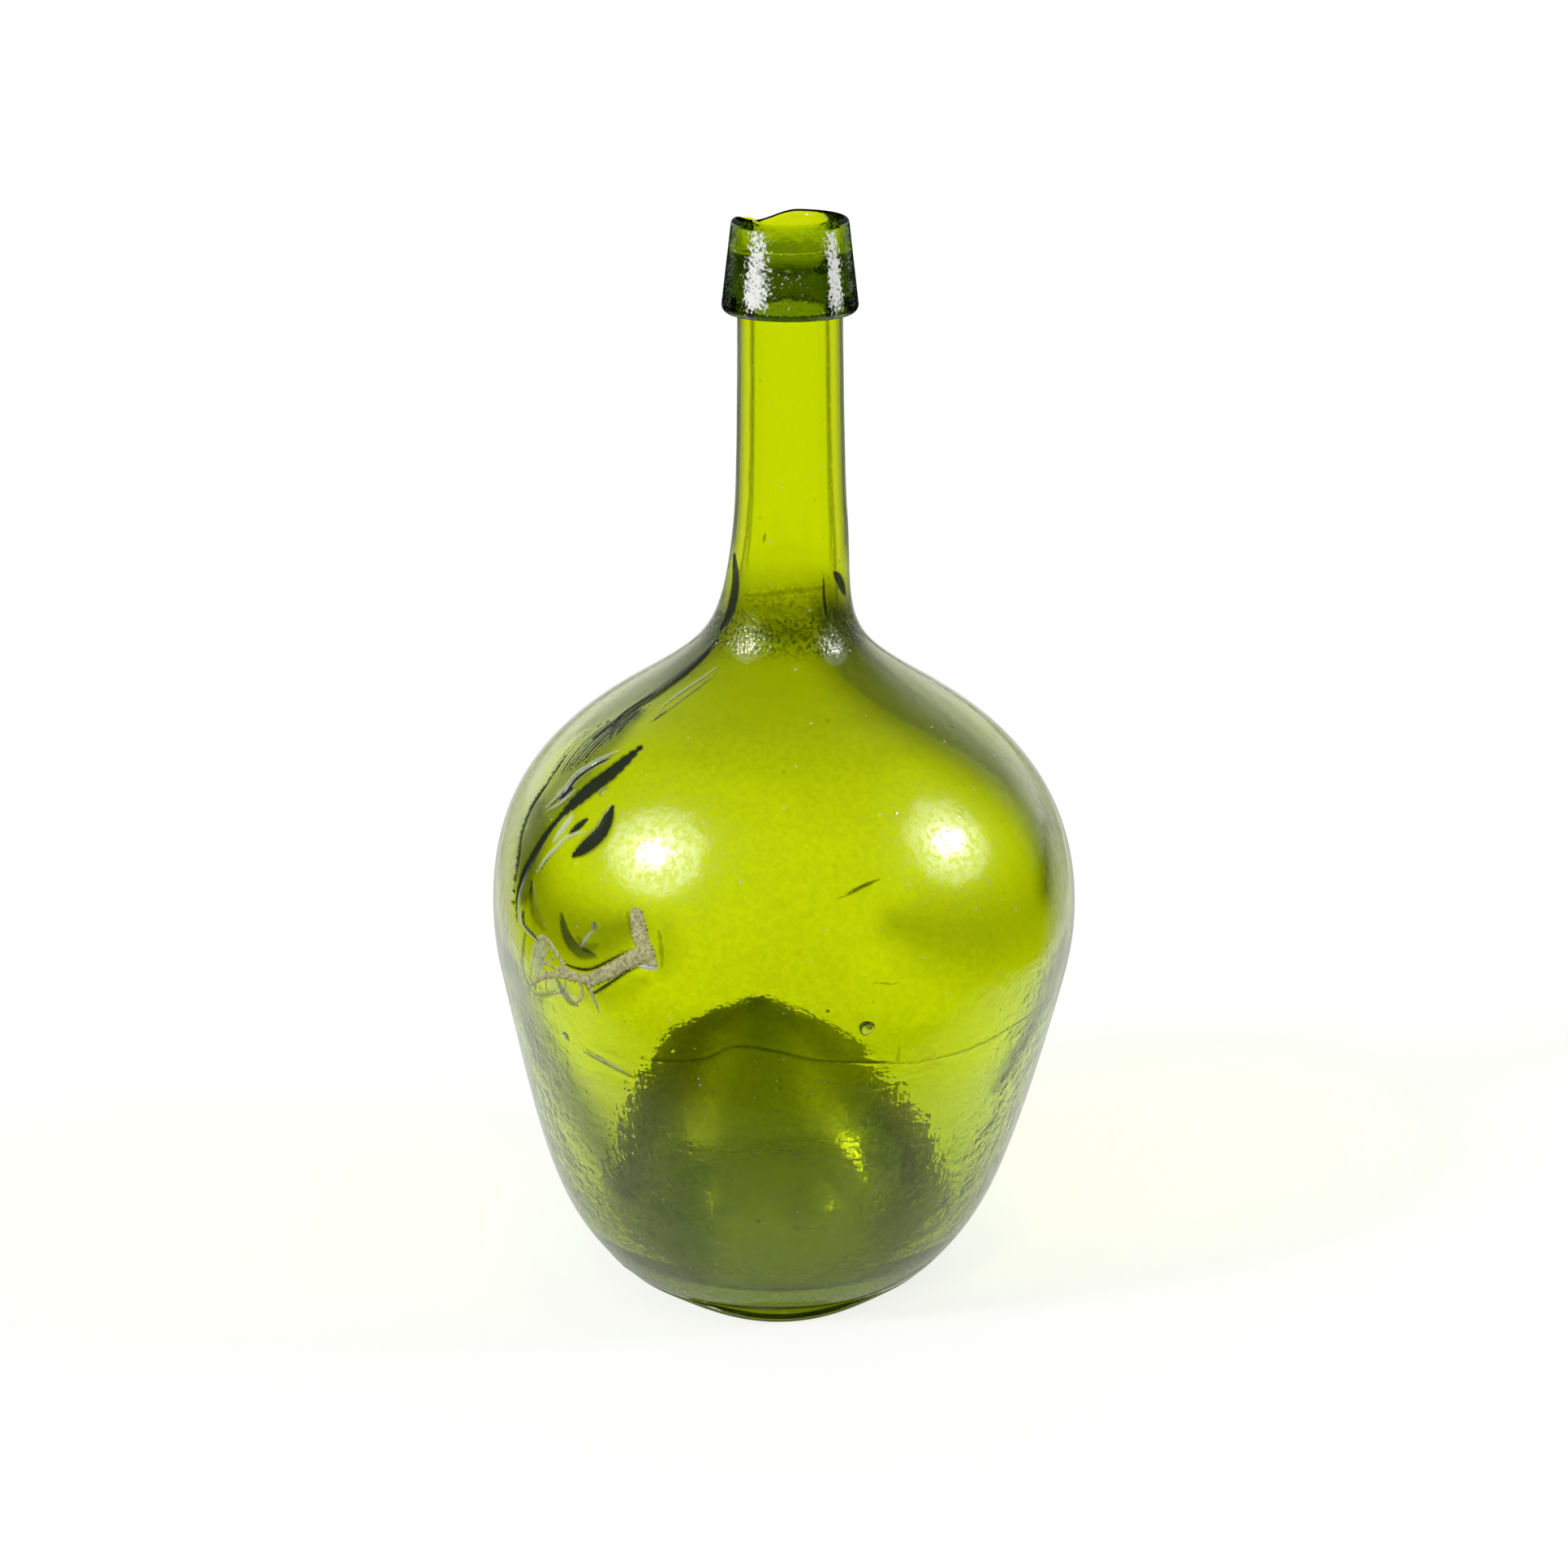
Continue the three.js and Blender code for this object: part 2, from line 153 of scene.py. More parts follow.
class Wire:
    # a socket, on which Python's operators add Math nodes
    def __init__(self, tree, socket):
        self.tree, self.socket = tree, socket

    def math(self, operation, *values):
        return self.tree.node("ShaderNodeMath", {"operation": operation}, dict(enumerate(values)))

    def __add__(self, other):
        return self.math("ADD", self, other)

    def __sub__(self, other):
        return self.math("SUBTRACT", self, other)

    def __rsub__(self, other):
        return self.math("SUBTRACT", other, self)

    def __mul__(self, other):
        return self.math("MULTIPLY", self, other)

    def __truediv__(self, other):
        return self.math("DIVIDE", self, other)

    def __pow__(self, other):
        return self.math("POWER", self, other)

    def __gt__(self, other):
        return self.math("GREATER_THAN", self, other)

    __radd__ = __add__
    __rmul__ = __mul__

    def between(self, low, high):
        # eased from nothing at low to one at high
        settings = {"interpolation_type": "SMOOTHSTEP"}
        return self.tree.node("ShaderNodeMapRange", settings, {0: self, 1: low, 2: high, 3: 0.0, 4: 1.0})

    def absolute(self):
        return self.math("ABSOLUTE", self)

    def largest(self, other):
        return self.math("MAXIMUM", self, other)

    def smallest(self, other):
        return self.math("MINIMUM", self, other)

    def out(self, name):
        # another output of the node that this socket belongs to
        return Wire(self.tree, self.socket.node.outputs[name])


class Shader:
    # a node tree, with one method that adds its nodes
    def __init__(self, owner):
        owner.use_nodes = True
        self.nodes, self.links = owner.node_tree.nodes, owner.node_tree.links
        self.nodes.clear()

    def node(self, kind, settings=None, values=None, output=0):
        made = self.nodes.new(kind)
        for name, setting in (settings or {}).items():
            setattr(made, name, setting)
        for name, value in (values or {}).items():
            socket = made.inputs[name]
            if isinstance(value, Wire):
                self.links.new(value.socket, socket)
            else:
                socket.default_value = value
        return Wire(self, made.outputs[output]) if made.outputs else made

    def mixColour(self, factor, a, b):
        return self.node("ShaderNodeMix", {"data_type": "RGBA"}, {0: factor, 6: a, 7: b}, output=2)

    def mixShader(self, factor, a, b):
        return self.node("ShaderNodeMixShader", None, {0: factor, 1: a, 2: b})


def colour(red, green, blue):
    return (red, green, blue, 1)


def newMaterial(name):
    material = bpy.data.materials.new(name)
    return material, Shader(material)


def objectPlace(shader):
    return shader.node("ShaderNodeTexCoord", None, None, "Object")


def axes(shader, place, names="XYZ"):
    # the parts of a place along the axes
    return [shader.node("ShaderNodeSeparateXYZ", None, {0: place}, name) for name in names]


def mark(shader, name):
    # a number that each face or corner of the mesh carries
    return shader.node("ShaderNodeAttribute", {"attribute_name": name}, None, "Fac")


def noise(shader, place, scale, detail, distortion=0.0):
    values = {"Vector": place, "Scale": scale, "Detail": detail, "Distortion": distortion}
    return shader.node("ShaderNodeTexNoise", None, values)


def stretched(shader, place, scale, degrees=0):
    # a place stretched along the axes, after a turn about Y
    values = {"Vector": place, "Rotation": (0, math.radians(degrees), 0), "Scale": scale}
    return shader.node("ShaderNodeMapping", None, values)


def scattered(shader, place, scale, middle, rim, least):
    # round spots, in the cells whose random number is above the least
    cells = shader.node("ShaderNodeTexVoronoi", None, {"Vector": place, "Scale": scale})
    chance = shader.node("ShaderNodeSeparateColor", None, {0: cells.out("Color")})
    return (1 - cells.between(middle, rim)) * (chance > least)


def bumpOf(shader, height, strength=1.0, distance=mm):
    values = {"Strength": strength, "Distance": distance, "Height": height}
    return shader.node("ShaderNodeBump", None, values)


def facingOf(shader):
    return shader.node("ShaderNodeLayerWeight", None, {"Blend": 0.5}, "Facing")


# Pieces, modelled with Blender's own operators

def addPrimitive(name, operator, **settings):
    if bpy.context.object and bpy.context.object.mode != "OBJECT":
        bpy.ops.object.mode_set(mode="OBJECT")
    bpy.ops.object.select_all(action="DESELECT")
    operator(**settings)
    piece = bpy.context.object
    piece.name = piece.data.name = name
    return piece


def turned(name, outline, steps):
    # a plane cut down to one corner, extruded along the outline and spun round the Z axis
    piece = addPrimitive(name, bpy.ops.mesh.primitive_plane_add, size=mm)
    bpy.ops.object.mode_set(mode="EDIT")
    bpy.ops.mesh.select_mode(type="VERT")
    bpy.ops.mesh.select_all(action="DESELECT")
    mesh = bmesh.from_edit_mesh(piece.data)
    mesh.verts.ensure_lookup_table()
    for corner in mesh.verts[1:]:
        corner.select = True
    bpy.ops.mesh.delete(type="VERT")
    mesh = bmesh.from_edit_mesh(piece.data)
    mesh.verts.ensure_lookup_table()
    mesh.verts[0].select = True
    here = mesh.verts[0].co.copy()
    for i, point in enumerate(outline):
        there = Vector((point.x, 0, point.y)) * mm
        if i == 0:
            bpy.ops.transform.translate(value=there - here)
        else:
            bpy.ops.mesh.extrude_vertices_move(TRANSFORM_OT_translate={"value": there - here})
        here = there
    bpy.ops.mesh.select_all(action="SELECT")
    bpy.ops.mesh.spin(steps=steps, angle=2 * math.pi, center=(0, 0, 0), axis=(0, 0, 1))
    bpy.ops.mesh.select_all(action="SELECT")
    bpy.ops.mesh.remove_doubles(threshold=0.002 * mm)
    bpy.ops.mesh.normals_make_consistent(inside=False)
    bpy.ops.mesh.select_all(action="DESELECT")
    bpy.ops.object.mode_set(mode="OBJECT")
    return piece


def reshape(piece, move):
    # every corner of the mesh moved, in millimetres
    for corner in piece.data.vertices:
        corner.co = move(corner.co / mm) * mm
    piece.data.update()


def shadeSmooth(piece):
    bpy.ops.object.select_all(action="DESELECT")
    piece.select_set(True)
    bpy.context.view_layer.objects.active = piece
    bpy.ops.object.shade_smooth()


def hand(piece, node, slot, *materials):
    # gives a finished piece its materials and its body, and hides the imported part it stands for
    piece.data.materials.clear()
    for material in materials:
        piece.data.materials.append(material)
    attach(piece, "root")
    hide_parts(node)


# Camera, lamps, world and floor

studio = {
    "cameraPlace": (0, -798.7, 444.5),
    "cameraPitch": 19.41,  # degrees down
    "cameraLens": 60.07,
    "lamps": {  # azimuth and elevation of the lamp, how wide it looks, and its strength
        "keyLamp": (-154.0, 39.2, 7, 1.5),
        "keyDiffuser": (-154.0, 39.2, 39, 0.66),
        "sideLamp": (-3.6, 33.2, 7, 1.0),
        "sideDiffuser": (-3.6, 33.2, 35, 0.45),
    },
    "roomLight": 0.5,  # on matt surfaces
    "floorSize": 12000,
    "floorSeen": (0.25, 0.72),  # colour of the floor as the camera sees it, and its own glow there
    "floorThrough": (0.76, 0.12),  # the same as seen through the glass, where the shadows are stronger
    "footShade": (40, 70),  # radius up to which the glass sees no glow on the floor, and from which it does
    "footShadow": 0.45,
    "paperSide": (310, 370),  # distance to each side where the white paper ends, as gloss shows it
    "paperFront": (-180, 80),  # from dark in front of the demijohn to white behind it, along Y
    "cardBearing": (50, 54, 74, 78),  # dark cards in the room behind, in degrees from +Y to each side
    "cardDistance": (800, 900),
    "backdropTop": (0.3, 0.6),  # rise of a ray at which the white backdrop ends, as seen through the glass
    "glossFront": (0.38, 0.9),  # how far back a ray has to point for gloss to show the backdrop
    "glossTop": (0.35, 0.75),
    "bounces": 32,
    "glossBounces": 16,
}


def setCamera():
    camera = bpy.data.objects.new("camera", bpy.data.cameras.new("camera"))
    bpy.context.collection.objects.link(camera)
    camera.location = Vector(studio["cameraPlace"]) * mm
    camera.rotation_euler = (math.radians(90 - studio["cameraPitch"]), 0, 0)
    camera.data.lens = studio["cameraLens"]
    camera.data.sensor_width = 36
    camera.data.clip_end = 100
    bpy.context.scene.camera = camera


def setLamps():
    for name, (azimuth, elevation, width, strength) in studio["lamps"].items():
        lamp = bpy.data.objects.new(name, bpy.data.lights.new(name, "SUN"))
        bpy.context.collection.objects.link(lamp)
        lamp.rotation_euler = (math.radians(90 - elevation), 0, math.radians(azimuth + 90))
        lamp.data.angle = math.radians(width)
        lamp.data.energy = strength


def darkCards(shader, x, y):
    # how much a dark card to each side hides of what is behind the demijohn
    side = x.math("ARCTAN2", x, y).absolute() * (180 / math.pi)
    first, second, third, fourth = studio["cardBearing"]
    return side.between(first, second) * (1 - side.between(third, fourth))


def rayKinds(shader):
    # whether a ray comes straight from the camera, through glass, off gloss or off a matt surface
    straight = shader.node("ShaderNodeLightPath", None, None, "Is Camera Ray")
    through = straight.out("Is Transmission Ray")
    gloss = straight.out("Is Glossy Ray") * (1 - through)
    return straight, through, gloss, straight.out("Is Diffuse Ray")


def setWorld():
    world = bpy.data.worlds.new("room")
    bpy.context.scene.world = world
    shader = Shader(world)
    straight, through, gloss, plain = rayKinds(shader)
    direction = shader.node("ShaderNodeTexCoord", None, None, "Generated")
    x, y, z = axes(shader, direction)
    backdrop = 1 - z.between(*studio["backdropTop"])
    behind = y.between(*studio["glossFront"]) * (1 - z.between(*studio["glossTop"]))
    seen = straight + through * backdrop * (1 - darkCards(shader, x, y)) + gloss * behind
    light = shader.node("ShaderNodeBackground", None, {
        "Color": colour(1, 1, 1),
        "Strength": seen + plain * studio["roomLight"],
    })
    shader.node("ShaderNodeOutputWorld", None, {"Surface": light})


def makeFloor():
    floor = addPrimitive("floor", bpy.ops.mesh.primitive_plane_add, size=studio["floorSize"] * mm)
    material, shader = newMaterial("whiteSweep")
    straight, through, gloss = rayKinds(shader)[:3]
    x, y = (part / mm for part in axes(shader, objectPlace(shader), "XY"))
    distance = (x * x + y * y) ** 0.5
    card = darkCards(shader, x, y) * distance.between(*studio["cardDistance"])
    paper = y.between(*studio["paperFront"]) * (1 - x.absolute().between(*studio["paperSide"]))
    (seenMatt, seenGlow), (throughMatt, throughGlow) = studio["floorSeen"], studio["floorThrough"]
    shown = distance.between(*studio["footShade"]) * (1 - card)
    grey = shader.mixColour(through, colour(*[seenMatt] * 3), colour(*[throughMatt] * 3))
    grey = shader.mixColour(through * (1 - shown), grey, colour(*[studio["footShadow"]] * 3))
    matt = shader.node("ShaderNodeBsdfDiffuse", None, {"Color": grey})
    glow = straight * seenGlow + through * shown * throughGlow
    glow = shader.node("ShaderNodeEmission", None, {"Strength": glow})
    lit = shader.node("ShaderNodeAddShader", None, {0: matt, 1: glow})
    white = shader.node("ShaderNodeEmission", None, {"Strength": paper})
    shader.node("ShaderNodeOutputMaterial", None, {"Surface": shader.mixShader(gloss, lit, white)})
    floor.data.materials.append(material)


setCamera()
setLamps()
setWorld()
makeFloor()
scene = bpy.context.scene
scene.view_settings.view_transform = "Standard"
scene.cycles.max_bounces = studio["bounces"]
scene.cycles.transmission_bounces = studio["bounces"]
scene.cycles.transparent_max_bounces = studio["bounces"]
scene.cycles.glossy_bounces = studio["glossBounces"]
print("Studio ready")


# Glass

glassLook = {
    "absorption": (0.025, 0.018, 0.8),  # of red, green and blue light, per millimetre
    "collarAbsorption": (0.06, 0.045, 0.8),
    "tint": (0.92, 0.985, 1.0),  # at its surface
    "shadeColour": (0.03, 0.037, 0.05),  # colour of its painted shade, at its darkest places
    # colour of the collar's painted shade
    "collarShadeColour": (0.045, 0.09, 0.03),
    "kickMiddle": (0.13, 0.165, 0.2),  # painted shade of the kick-up's top, in its middle as seen from the front
    "kickSides": (0.058, 0.088, 0.15),
    "kickFoot": (0.34, 0.34, 0.14),  # its painted shade in the middle low down
    "fold": (0.008, 0.013, 0.009),  # of the opaque painted shade where the glass looks black
    "dustAndSheen": (0.55, 0.57, 0.47),  # of its palest places: dust, with painted sheen towards the edges and painted highlights on the marks
    "film": (0.9, 0.95, 0.85),  # of the thin bloom that blurs the lamps on its outside
    "filmRoughness": 0.2,
    "ior": 1.5,
    "roughness": 0.02,
    "shadow": (0.92, 0.93, 0.4),  # what a lamp's light keeps at each surface it crosses
}


def addAbsorption(shader, absorption):
    density = max(absorption) / mm
    left = colour(*[1 - each / mm / density for each in absorption])
    return shader.node("ShaderNodeVolumeAbsorption", None, {"Color": left, "Density": density})


def clearGlass(shader, tint, roughness, bump):
    return shader.node("ShaderNodeBsdfPrincipled", None, {
        "Base Color": tint,
        "Roughness": roughness,
        "IOR": glassLook["ior"],
        "Transmission Weight": 1.0,
        "Normal": bump,
    })


def tinted(shader, shade, shadeColour):
    # the tint of clear glass, down to its painted shade colour where the shade is one
    return shader.mixColour(shade, colour(*glassLook["tint"]), colour(*glassLook[shadeColour]))


def crusted(shader, glass, factor, crust, roughness, bump, gloss=0.5):
    # glass with an opaque crust over part of it
    over = shader.node("ShaderNodeBsdfPrincipled", None, {
        "Base Color": colour(*crust), "Roughness": roughness, "Specular IOR Level": gloss, "Normal": bump})
    return shader.mixShader(factor, glass, over)


def finishGlass(shader, glass, absorption, fused=None):
    # glass that lets the lamps through, filled with its tint, and not seen where two gathers are fused
    if fused:
        gone = shader.node("ShaderNodeBsdfTransparent", None, {"Color": colour(1, 1, 1)})
        glass = shader.mixShader(fused, glass, gone)
    shadow = shader.node("ShaderNodeLightPath", None, None, "Is Shadow Ray")
    clear = shader.node("ShaderNodeBsdfTransparent", None, {"Color": colour(*glassLook["shadow"])})
    surface = shader.mixShader(shadow, glass, clear)
    tint = addAbsorption(shader, absorption)
    shader.node("ShaderNodeOutputMaterial", None, {"Surface": surface, "Volume": tint})


def setMark(piece, name, values, domain="FACE"):
    piece.data.attributes.new(name, "FLOAT", domain).data.foreach_set("value", values)


# Body

bodyShape = {
    "restRingRadius": 49.5,
    "restRingWidth": 4,
    "heelRound": 9.5,
    "heelLean": 38,
    "footEdgeRound": 2.5,
    "kickHeight": 82,
    "kickDrift": 9,
    "kickLevel": 14,
    "kickCrown": 10,
    "kickPitch": 14,
    "kickBulge": 19,
    "kickFlank": 60,
    "kickTopWall": 6.5,
    "kickTopPull": (13, -4),  # how its top surface leaves the axis
    "kickTopFlank": (52, 54),
    "kickTopFoot": (58.8, 21),
    "ledges": [(-78, 33, 16, 5.2), (-106, 31, 15, 5.2)],  # azimuth, height, reach and rise of its swellings
    "troughHeight": 20,
    "troughDepth": 5,
    "mouldLine": (92.9, 103.5),
    "mouldLineLean": 11.3,
    "belly": (95, 123.2),
    "shoulder": (50.7, 194.9),
    "shoulderLean": 58,
    "lowerFullness": 22.7,
    "sideFullness": 75.3,
    "beltFullness": 7,
    "bellyFullness": 36,
    "shoulderFullness": 31.3,
    "sweepFullness": 36.8,
    "neckRoot": (17.7, 253.5),
    "neckRootLean": 4.7,
    "neckRootFullness": 37.5,
    "neckEnd": (15.9, 334),
    "neckEndLean": 0.7,
    "neckFullness": 14,
    "wall": [(3.7, 6), (103.5, 4.2), (123.2, 3.4), (194.9, 4.2), (253.5, 5)],  # height, thickness
    "wander": [(0, -2.8), (123.2, 0), (194.9, -1.1), (253.5, 2.1), (334, 1.8)],  # height, how far along X
    "heel": [(51.5, 0), (54.4, 0.1), (56.2, 0.9), (56.9, 2.1), (56.7, 3.0), (57.4, 3.3), (58.6, 3.5)],
    "heelShadowBulge": (5, -88, 40),  # dark bulge of the heel in front, standing in for its shadow on the floor: how far out, azimuth and reach
    "heelShadowBulgeTop": (2.5, 3.6),
    "turnSteps": 180,
    "outerSpacings": (1.9, 1.9, 1.5, 1.6, 3.0),  # of the corners along each curve, from the heel up
    "innerSpacings": (4, 4, 3, 2.5, 5),
    "kickSpacing": 2.5,
    "shade": [  # height, and how much painted shade darkens the outside of the glass there
        (0, 0.35), (25, 0.28), (60, 0.08), (105, 0), (125, 0.12), (170, 0.17), (184, 0.22), (191, 0.4),
        (199, 0.57), (208, 0.7), (217, 0.74), (226, 0.6), (236, 0.25), (243, 0.13), (314, 0.13), (316, 0),
    ],
    "kickShade": (0.87, 0.95),  # painted shade of the kick-up's top, in the middle of the front and to the sides
    "kickMiddle": (2, 12, 34),  # its middle along X, and where the shade starts and ends to each side
    "footTop": 4,
    "footShade": 0.8,  # painted shadow on the outside below that
    "darkFrom": 0.45,  # how near to its middle a mark is darkest, from zero at its edge to one, and palest
    "paleFrom": 0.6,
    "veilFrom": 0.7,
    "markMargin": 1.5,  # round each mark, where the faces are smaller
    "markCuts": 3,
}

# Wide patches of painted shade, as points (azimuth, height) along their middle, half their width, how dark
# they are, and how near to the middle they are darkest, from zero at their edge to one
paintedShades = {
    "rightCrescent": ([
        (-50, 221), (-44, 210), (-38, 199), (-30, 188), (-25, 178), (-23, 166), (-24, 155), (-28, 145)],
        28, 0.84, 1.0),
    "rightBelow": ([(-20, 158), (-25, 147), (-33, 140), (-44, 139), (-56, 143), (-68, 149)], 31, 0.64, 1.0),
    "rightShoulder": ([
        (-48, 228), (-36, 218), (-28, 208), (-22, 197), (-18, 185), (-15, 172), (-14, 158)], 32, 0.8, 1.0),
    "lapBack": ([(-156, 220), (-161, 208), (-166, 197), (-169, 186)], 17, 0.82, 0.8),
    "leftPatch": ([
        (-158, 166), (-152, 157), (-148, 149), (-143, 142), (-135, 139), (-126, 141), (-119, 147)],
        22, 0.8, 0.9),
    "insideLap": ([
        (-151, 194), (-152, 187), (-152, 176), (-153, 164), (-152, 152), (-150, 144)], 17, 0.86, 0.7),
    "besideArm": ([(-113, 151), (-111.5, 143), (-113, 134)], 9, 0.4, 1.0),
    "underStem": ([(-130, 121), (-123, 124), (-116, 131)], 8, 0.45, 1.0),
    "greyLeft": ([(-152, 111), (-149, 109), (-144, 103), (-139, 94), (-138, 86)], 6, 0.4, 1.0),
    "lowerLeft": ([(-158, 116), (-151, 99), (-142, 84), (-133, 68), (-127, 50)], 21, 0.84, 0.9),
    "greyRight": ([(-22, 109), (-29, 102), (-35, 93), (-41, 83)], 10, 0.85, 0.7),
    "rootShade": ([(-112, 221), (-98, 221), (-84, 220.5), (-70, 219.5)], 5, 0.6, 0.5),
    "rootShadeRight": ([(-58, 220), (-44, 218)], 4.5, 0.35, 0.6),
}
leastClear = 0.06  # of the glass under all the painted shades

# Grey bloom on the lap, with painted sheen that grows as it turns away, as points along its middle, half its
# width and its strength
veil = ([
    (-160, 219), (-166, 208), (-172, 196), (-176, 185), (-178, 170), (-178, 150), (-172, 130), (-166, 115)],
    23, 0.7)

# Marks in the glass, as points (azimuth, height), half their width, their rise, how dark they are, and
# how pale; the rise is relief, and the dark and pale are mostly painted shade and painted highlights
marks = {
    "patch": ([
        (-136.5, 189), (-138, 185.5), (-139.5, 182), (-142, 178), (-144.5, 173), (-146.5, 168.5)],
        5, -0.3, 1, 0),
    "patchTail": ([
        (-144.5, 172.5), (-147, 166.5), (-148.5, 161), (-150, 154.5), (-151.5, 148), (-152.5, 141),
        (-151.5, 134)],
        2.2, -0.2, 1, 0),
    "lens": ([(-132.5, 175), (-132, 170), (-133.5, 166), (-137, 161)], 4.4, -0.3, 1, 0),
    "firstFold": ([
        (-143, 187), (-147, 184), (-149, 181.5), (-151, 178.5), (-151, 174), (-153, 168.5)],
        1.2, 0.6, 0, 0.42),
    "firstFoldShade": ([(-143.5, 185), (-147.2, 182), (-149.5, 178), (-149.6, 173)], 1.1, -0.4, 1, 0),
    "firstPocket": ([(-148.5, 175.5), (-150.5, 172)], 1.7, -0.3, 1, 0),
    "firstLip": ([(-147, 175.5), (-148.8, 171.5), (-152, 168)], 0.8, 0.5, 0, 0.5),
    "secondPocket": ([(-137.8, 170.5), (-140.8, 165.8)], 2.2, -0.4, 1, 0),
    "secondFold": ([
        (-137, 167.5), (-141, 164.5), (-143, 160.5), (-145, 156.5), (-146.5, 152)], 1.1, 0.6, 0, 0.48),
    "secondGlare": ([(-142.6, 170), (-144.5, 162)], 1.8, 0.4, 0, 0.6),
    "loopTop": ([(-155, 200), (-158, 194.5), (-156, 191.5), (-151, 188.5)], 1.1, 0.4, 1, 0),
    "loopBottom": ([(-150, 189.5), (-152, 193), (-152, 196)], 0.8, 0.3, 0.9, 0),
    "lapEdge": ([
        (-147.5, 215), (-150, 210), (-151.8, 206), (-154, 200.5), (-156.5, 195), (-158, 187)],
        3.6, 0.5, 0.8, 0),
    "wedgeLeft": ([(-156, 241), (-147, 233), (-145, 224), (-148, 219)], 3.2, -0.2, 0.97, 0),
    "wedgeRight": ([(-42, 237), (-32, 233), (-26, 229)], 2.6, -0.2, 0.97, 0),
    # painted shade and a painted highlight along the heel's edge
    "heelShade": ([
        (-165, 8), (-140, 5.6), (-118, 5), (-98, 5.6), (-87, 5.6), (-66, 5.2), (-50, 7.5), (-30, 13)],
        1.2, -0.3, 0.97, 0),
    "heelLight": ([
        (-160, 6.6), (-140, 4.6), (-118, 4.2), (-98, 4.7), (-87, 4.7), (-66, 4.4), (-50, 6)],
        0.75, 0.25, 0, 0.9),
    "lapEdgeLow": ([
        (-162.5, 180), (-161, 176), (-160, 171.5), (-160, 165.5), (-158.5, 158.5), (-156, 152), (-155, 146),
        (-154, 138)], 0.8, 0.8, 0.6, 0.2),
    "wrinkle": ([
        (-130, 207.5), (-133, 205), (-136.5, 201.5), (-138.5, 198.5), (-140.5, 195.5)], 0.7, 0.4, 0.7, 0.1),
    "wrinkleEdge": ([(-132, 209.5), (-139, 204), (-143, 199), (-142.5, 197)], 0.7, 0.4, 0.3, 0.4),
    "wrinkleEnd": ([(-139.5, 197.8), (-141, 195)], 0.9, 0.3, 0.9, 0),
    "curl": ([(-137, 179), (-138.5, 177.5), (-137.5, 177)], 0.9, 0.4, 0.8, 0.1),
    "craterTail": ([(-128, 142), (-129.5, 139), (-130.5, 136.5)], 0.8, 0.4, 0.3, 0.5),
    "crater": ([(-127.6, 144.6), (-127.7, 143)], 1.5, -0.5, 0.9, 0.2),
    "underCrater": ([(-136.5, 143.5), (-134.5, 138), (-131, 134.5), (-127, 135)], 3.0, -0.4, 0.8, 0),
    "craterShade": ([(-131.5, 139), (-129, 136.5), (-126.5, 138.5)], 2.0, -0.2, 0.6, 0),
    "lobe": ([(-147.5, 148), (-145, 141), (-141, 137)], 3.0, -0.3, 0.55, 0),
    "lobeEdge": ([(-149.5, 138), (-148.5, 134.5), (-143, 132.5)], 1.2, 0.4, 0.9, 0.1),
    "armEdge": ([(-113.6, 147.5), (-112.8, 142), (-112.4, 136.5)], 0.9, 0, 0.7, 0),
    "armBack": ([(-120.8, 151), (-119.8, 147), (-119, 143)], 0.7, 0, 0.6, 0),
    "stemTopEdge": ([
        (-135.5, 129), (-132, 129), (-128.5, 130), (-125.5, 132.6), (-122, 136.5), (-118.8, 140)],
        0.9, 0, 1, 0),
    "stemLowEdge": ([
        (-129.5, 125), (-127.5, 123), (-125.5, 124.9), (-122, 129.6), (-119.5, 132.9), (-116.6, 135.4)],
        1.0, 0, 1, 0),
    "armFoot": ([(-117, 135.4), (-113.5, 135.6)], 1.1, 0.3, 0, 0.95),
    "netSkin": ([(-141, 132), (-143, 127), (-143, 121)], 5.2, 0.15, 0.25, 0.42),
    "netSkinLow": ([(-140, 121), (-136.5, 120), (-132.5, 119)], 3.6, 0.1, 0.2, 0.25),
    "netShade": ([(-137, 123), (-134, 117.5), (-131.5, 117)], 1.8, 0, 0.9, 0),
    "netEdge": ([(-147.5, 133), (-148.5, 126), (-149, 119), (-146, 113.5)], 1.5, 0, 0.85, 0),
    "netFoot": ([(-145, 113), (-141, 115), (-137.5, 118.5)], 1.3, 0, 0.85, 0),
    "sliver": ([(-131.5, 100.3), (-126.5, 99.2), (-119.5, 96.5)], 1.3, 0.3, 0.8, 0),
    "sliverLight": ([(-130.5, 101), (-126, 100), (-121, 98)], 0.7, 0.3, 0, 0.45),
    "scratch": ([(-78, 158.2), (-74.5, 160.2), (-70.5, 161.7)], 0.9, -0.3, 0.95, 0),
    "shortScratch": ([(-73.5, 133), (-69.5, 131.5)], 0.4, -0.2, 0.7, 0),
    "mouldLine": ([
        (-117, 104.5), (-111, 105.5), (-104, 109), (-99, 113.5), (-93, 113), (-85, 109.5), (-76, 107),
        (-63, 103.3)],
        0.75, 0.15, 0.75, 0),
    "mouldLineRight": ([(-63, 103.5), (-51.5, 103.5), (-40, 105), (-27, 105.5)], 0.7, 0.15, 0.75, 0),
    "hair": ([(-68, 125.5), (-68.5, 105)], 0.4, 0, 0.6, 0),
    "blister": ([(-136.5, 104), (-136, 102.3)], 1.6, 0.6, 0.3, 0.4),
    "rootArc": ([(-132, 230.4), (-112, 231.2), (-90, 232.8), (-68, 233.2), (-48, 233.4)], 1.1, 0, 0.5, 0),
    "rootLine": ([(-56, 237), (-55, 230), (-53, 223)], 0.7, -0.2, 0.9, 0),
    "neckMark": ([(-115.5, 250.5), (-117, 247.5)], 0.6, 0.2, 0.8, 0),
}
rays = 9  # fine folds between the lap and the first fold


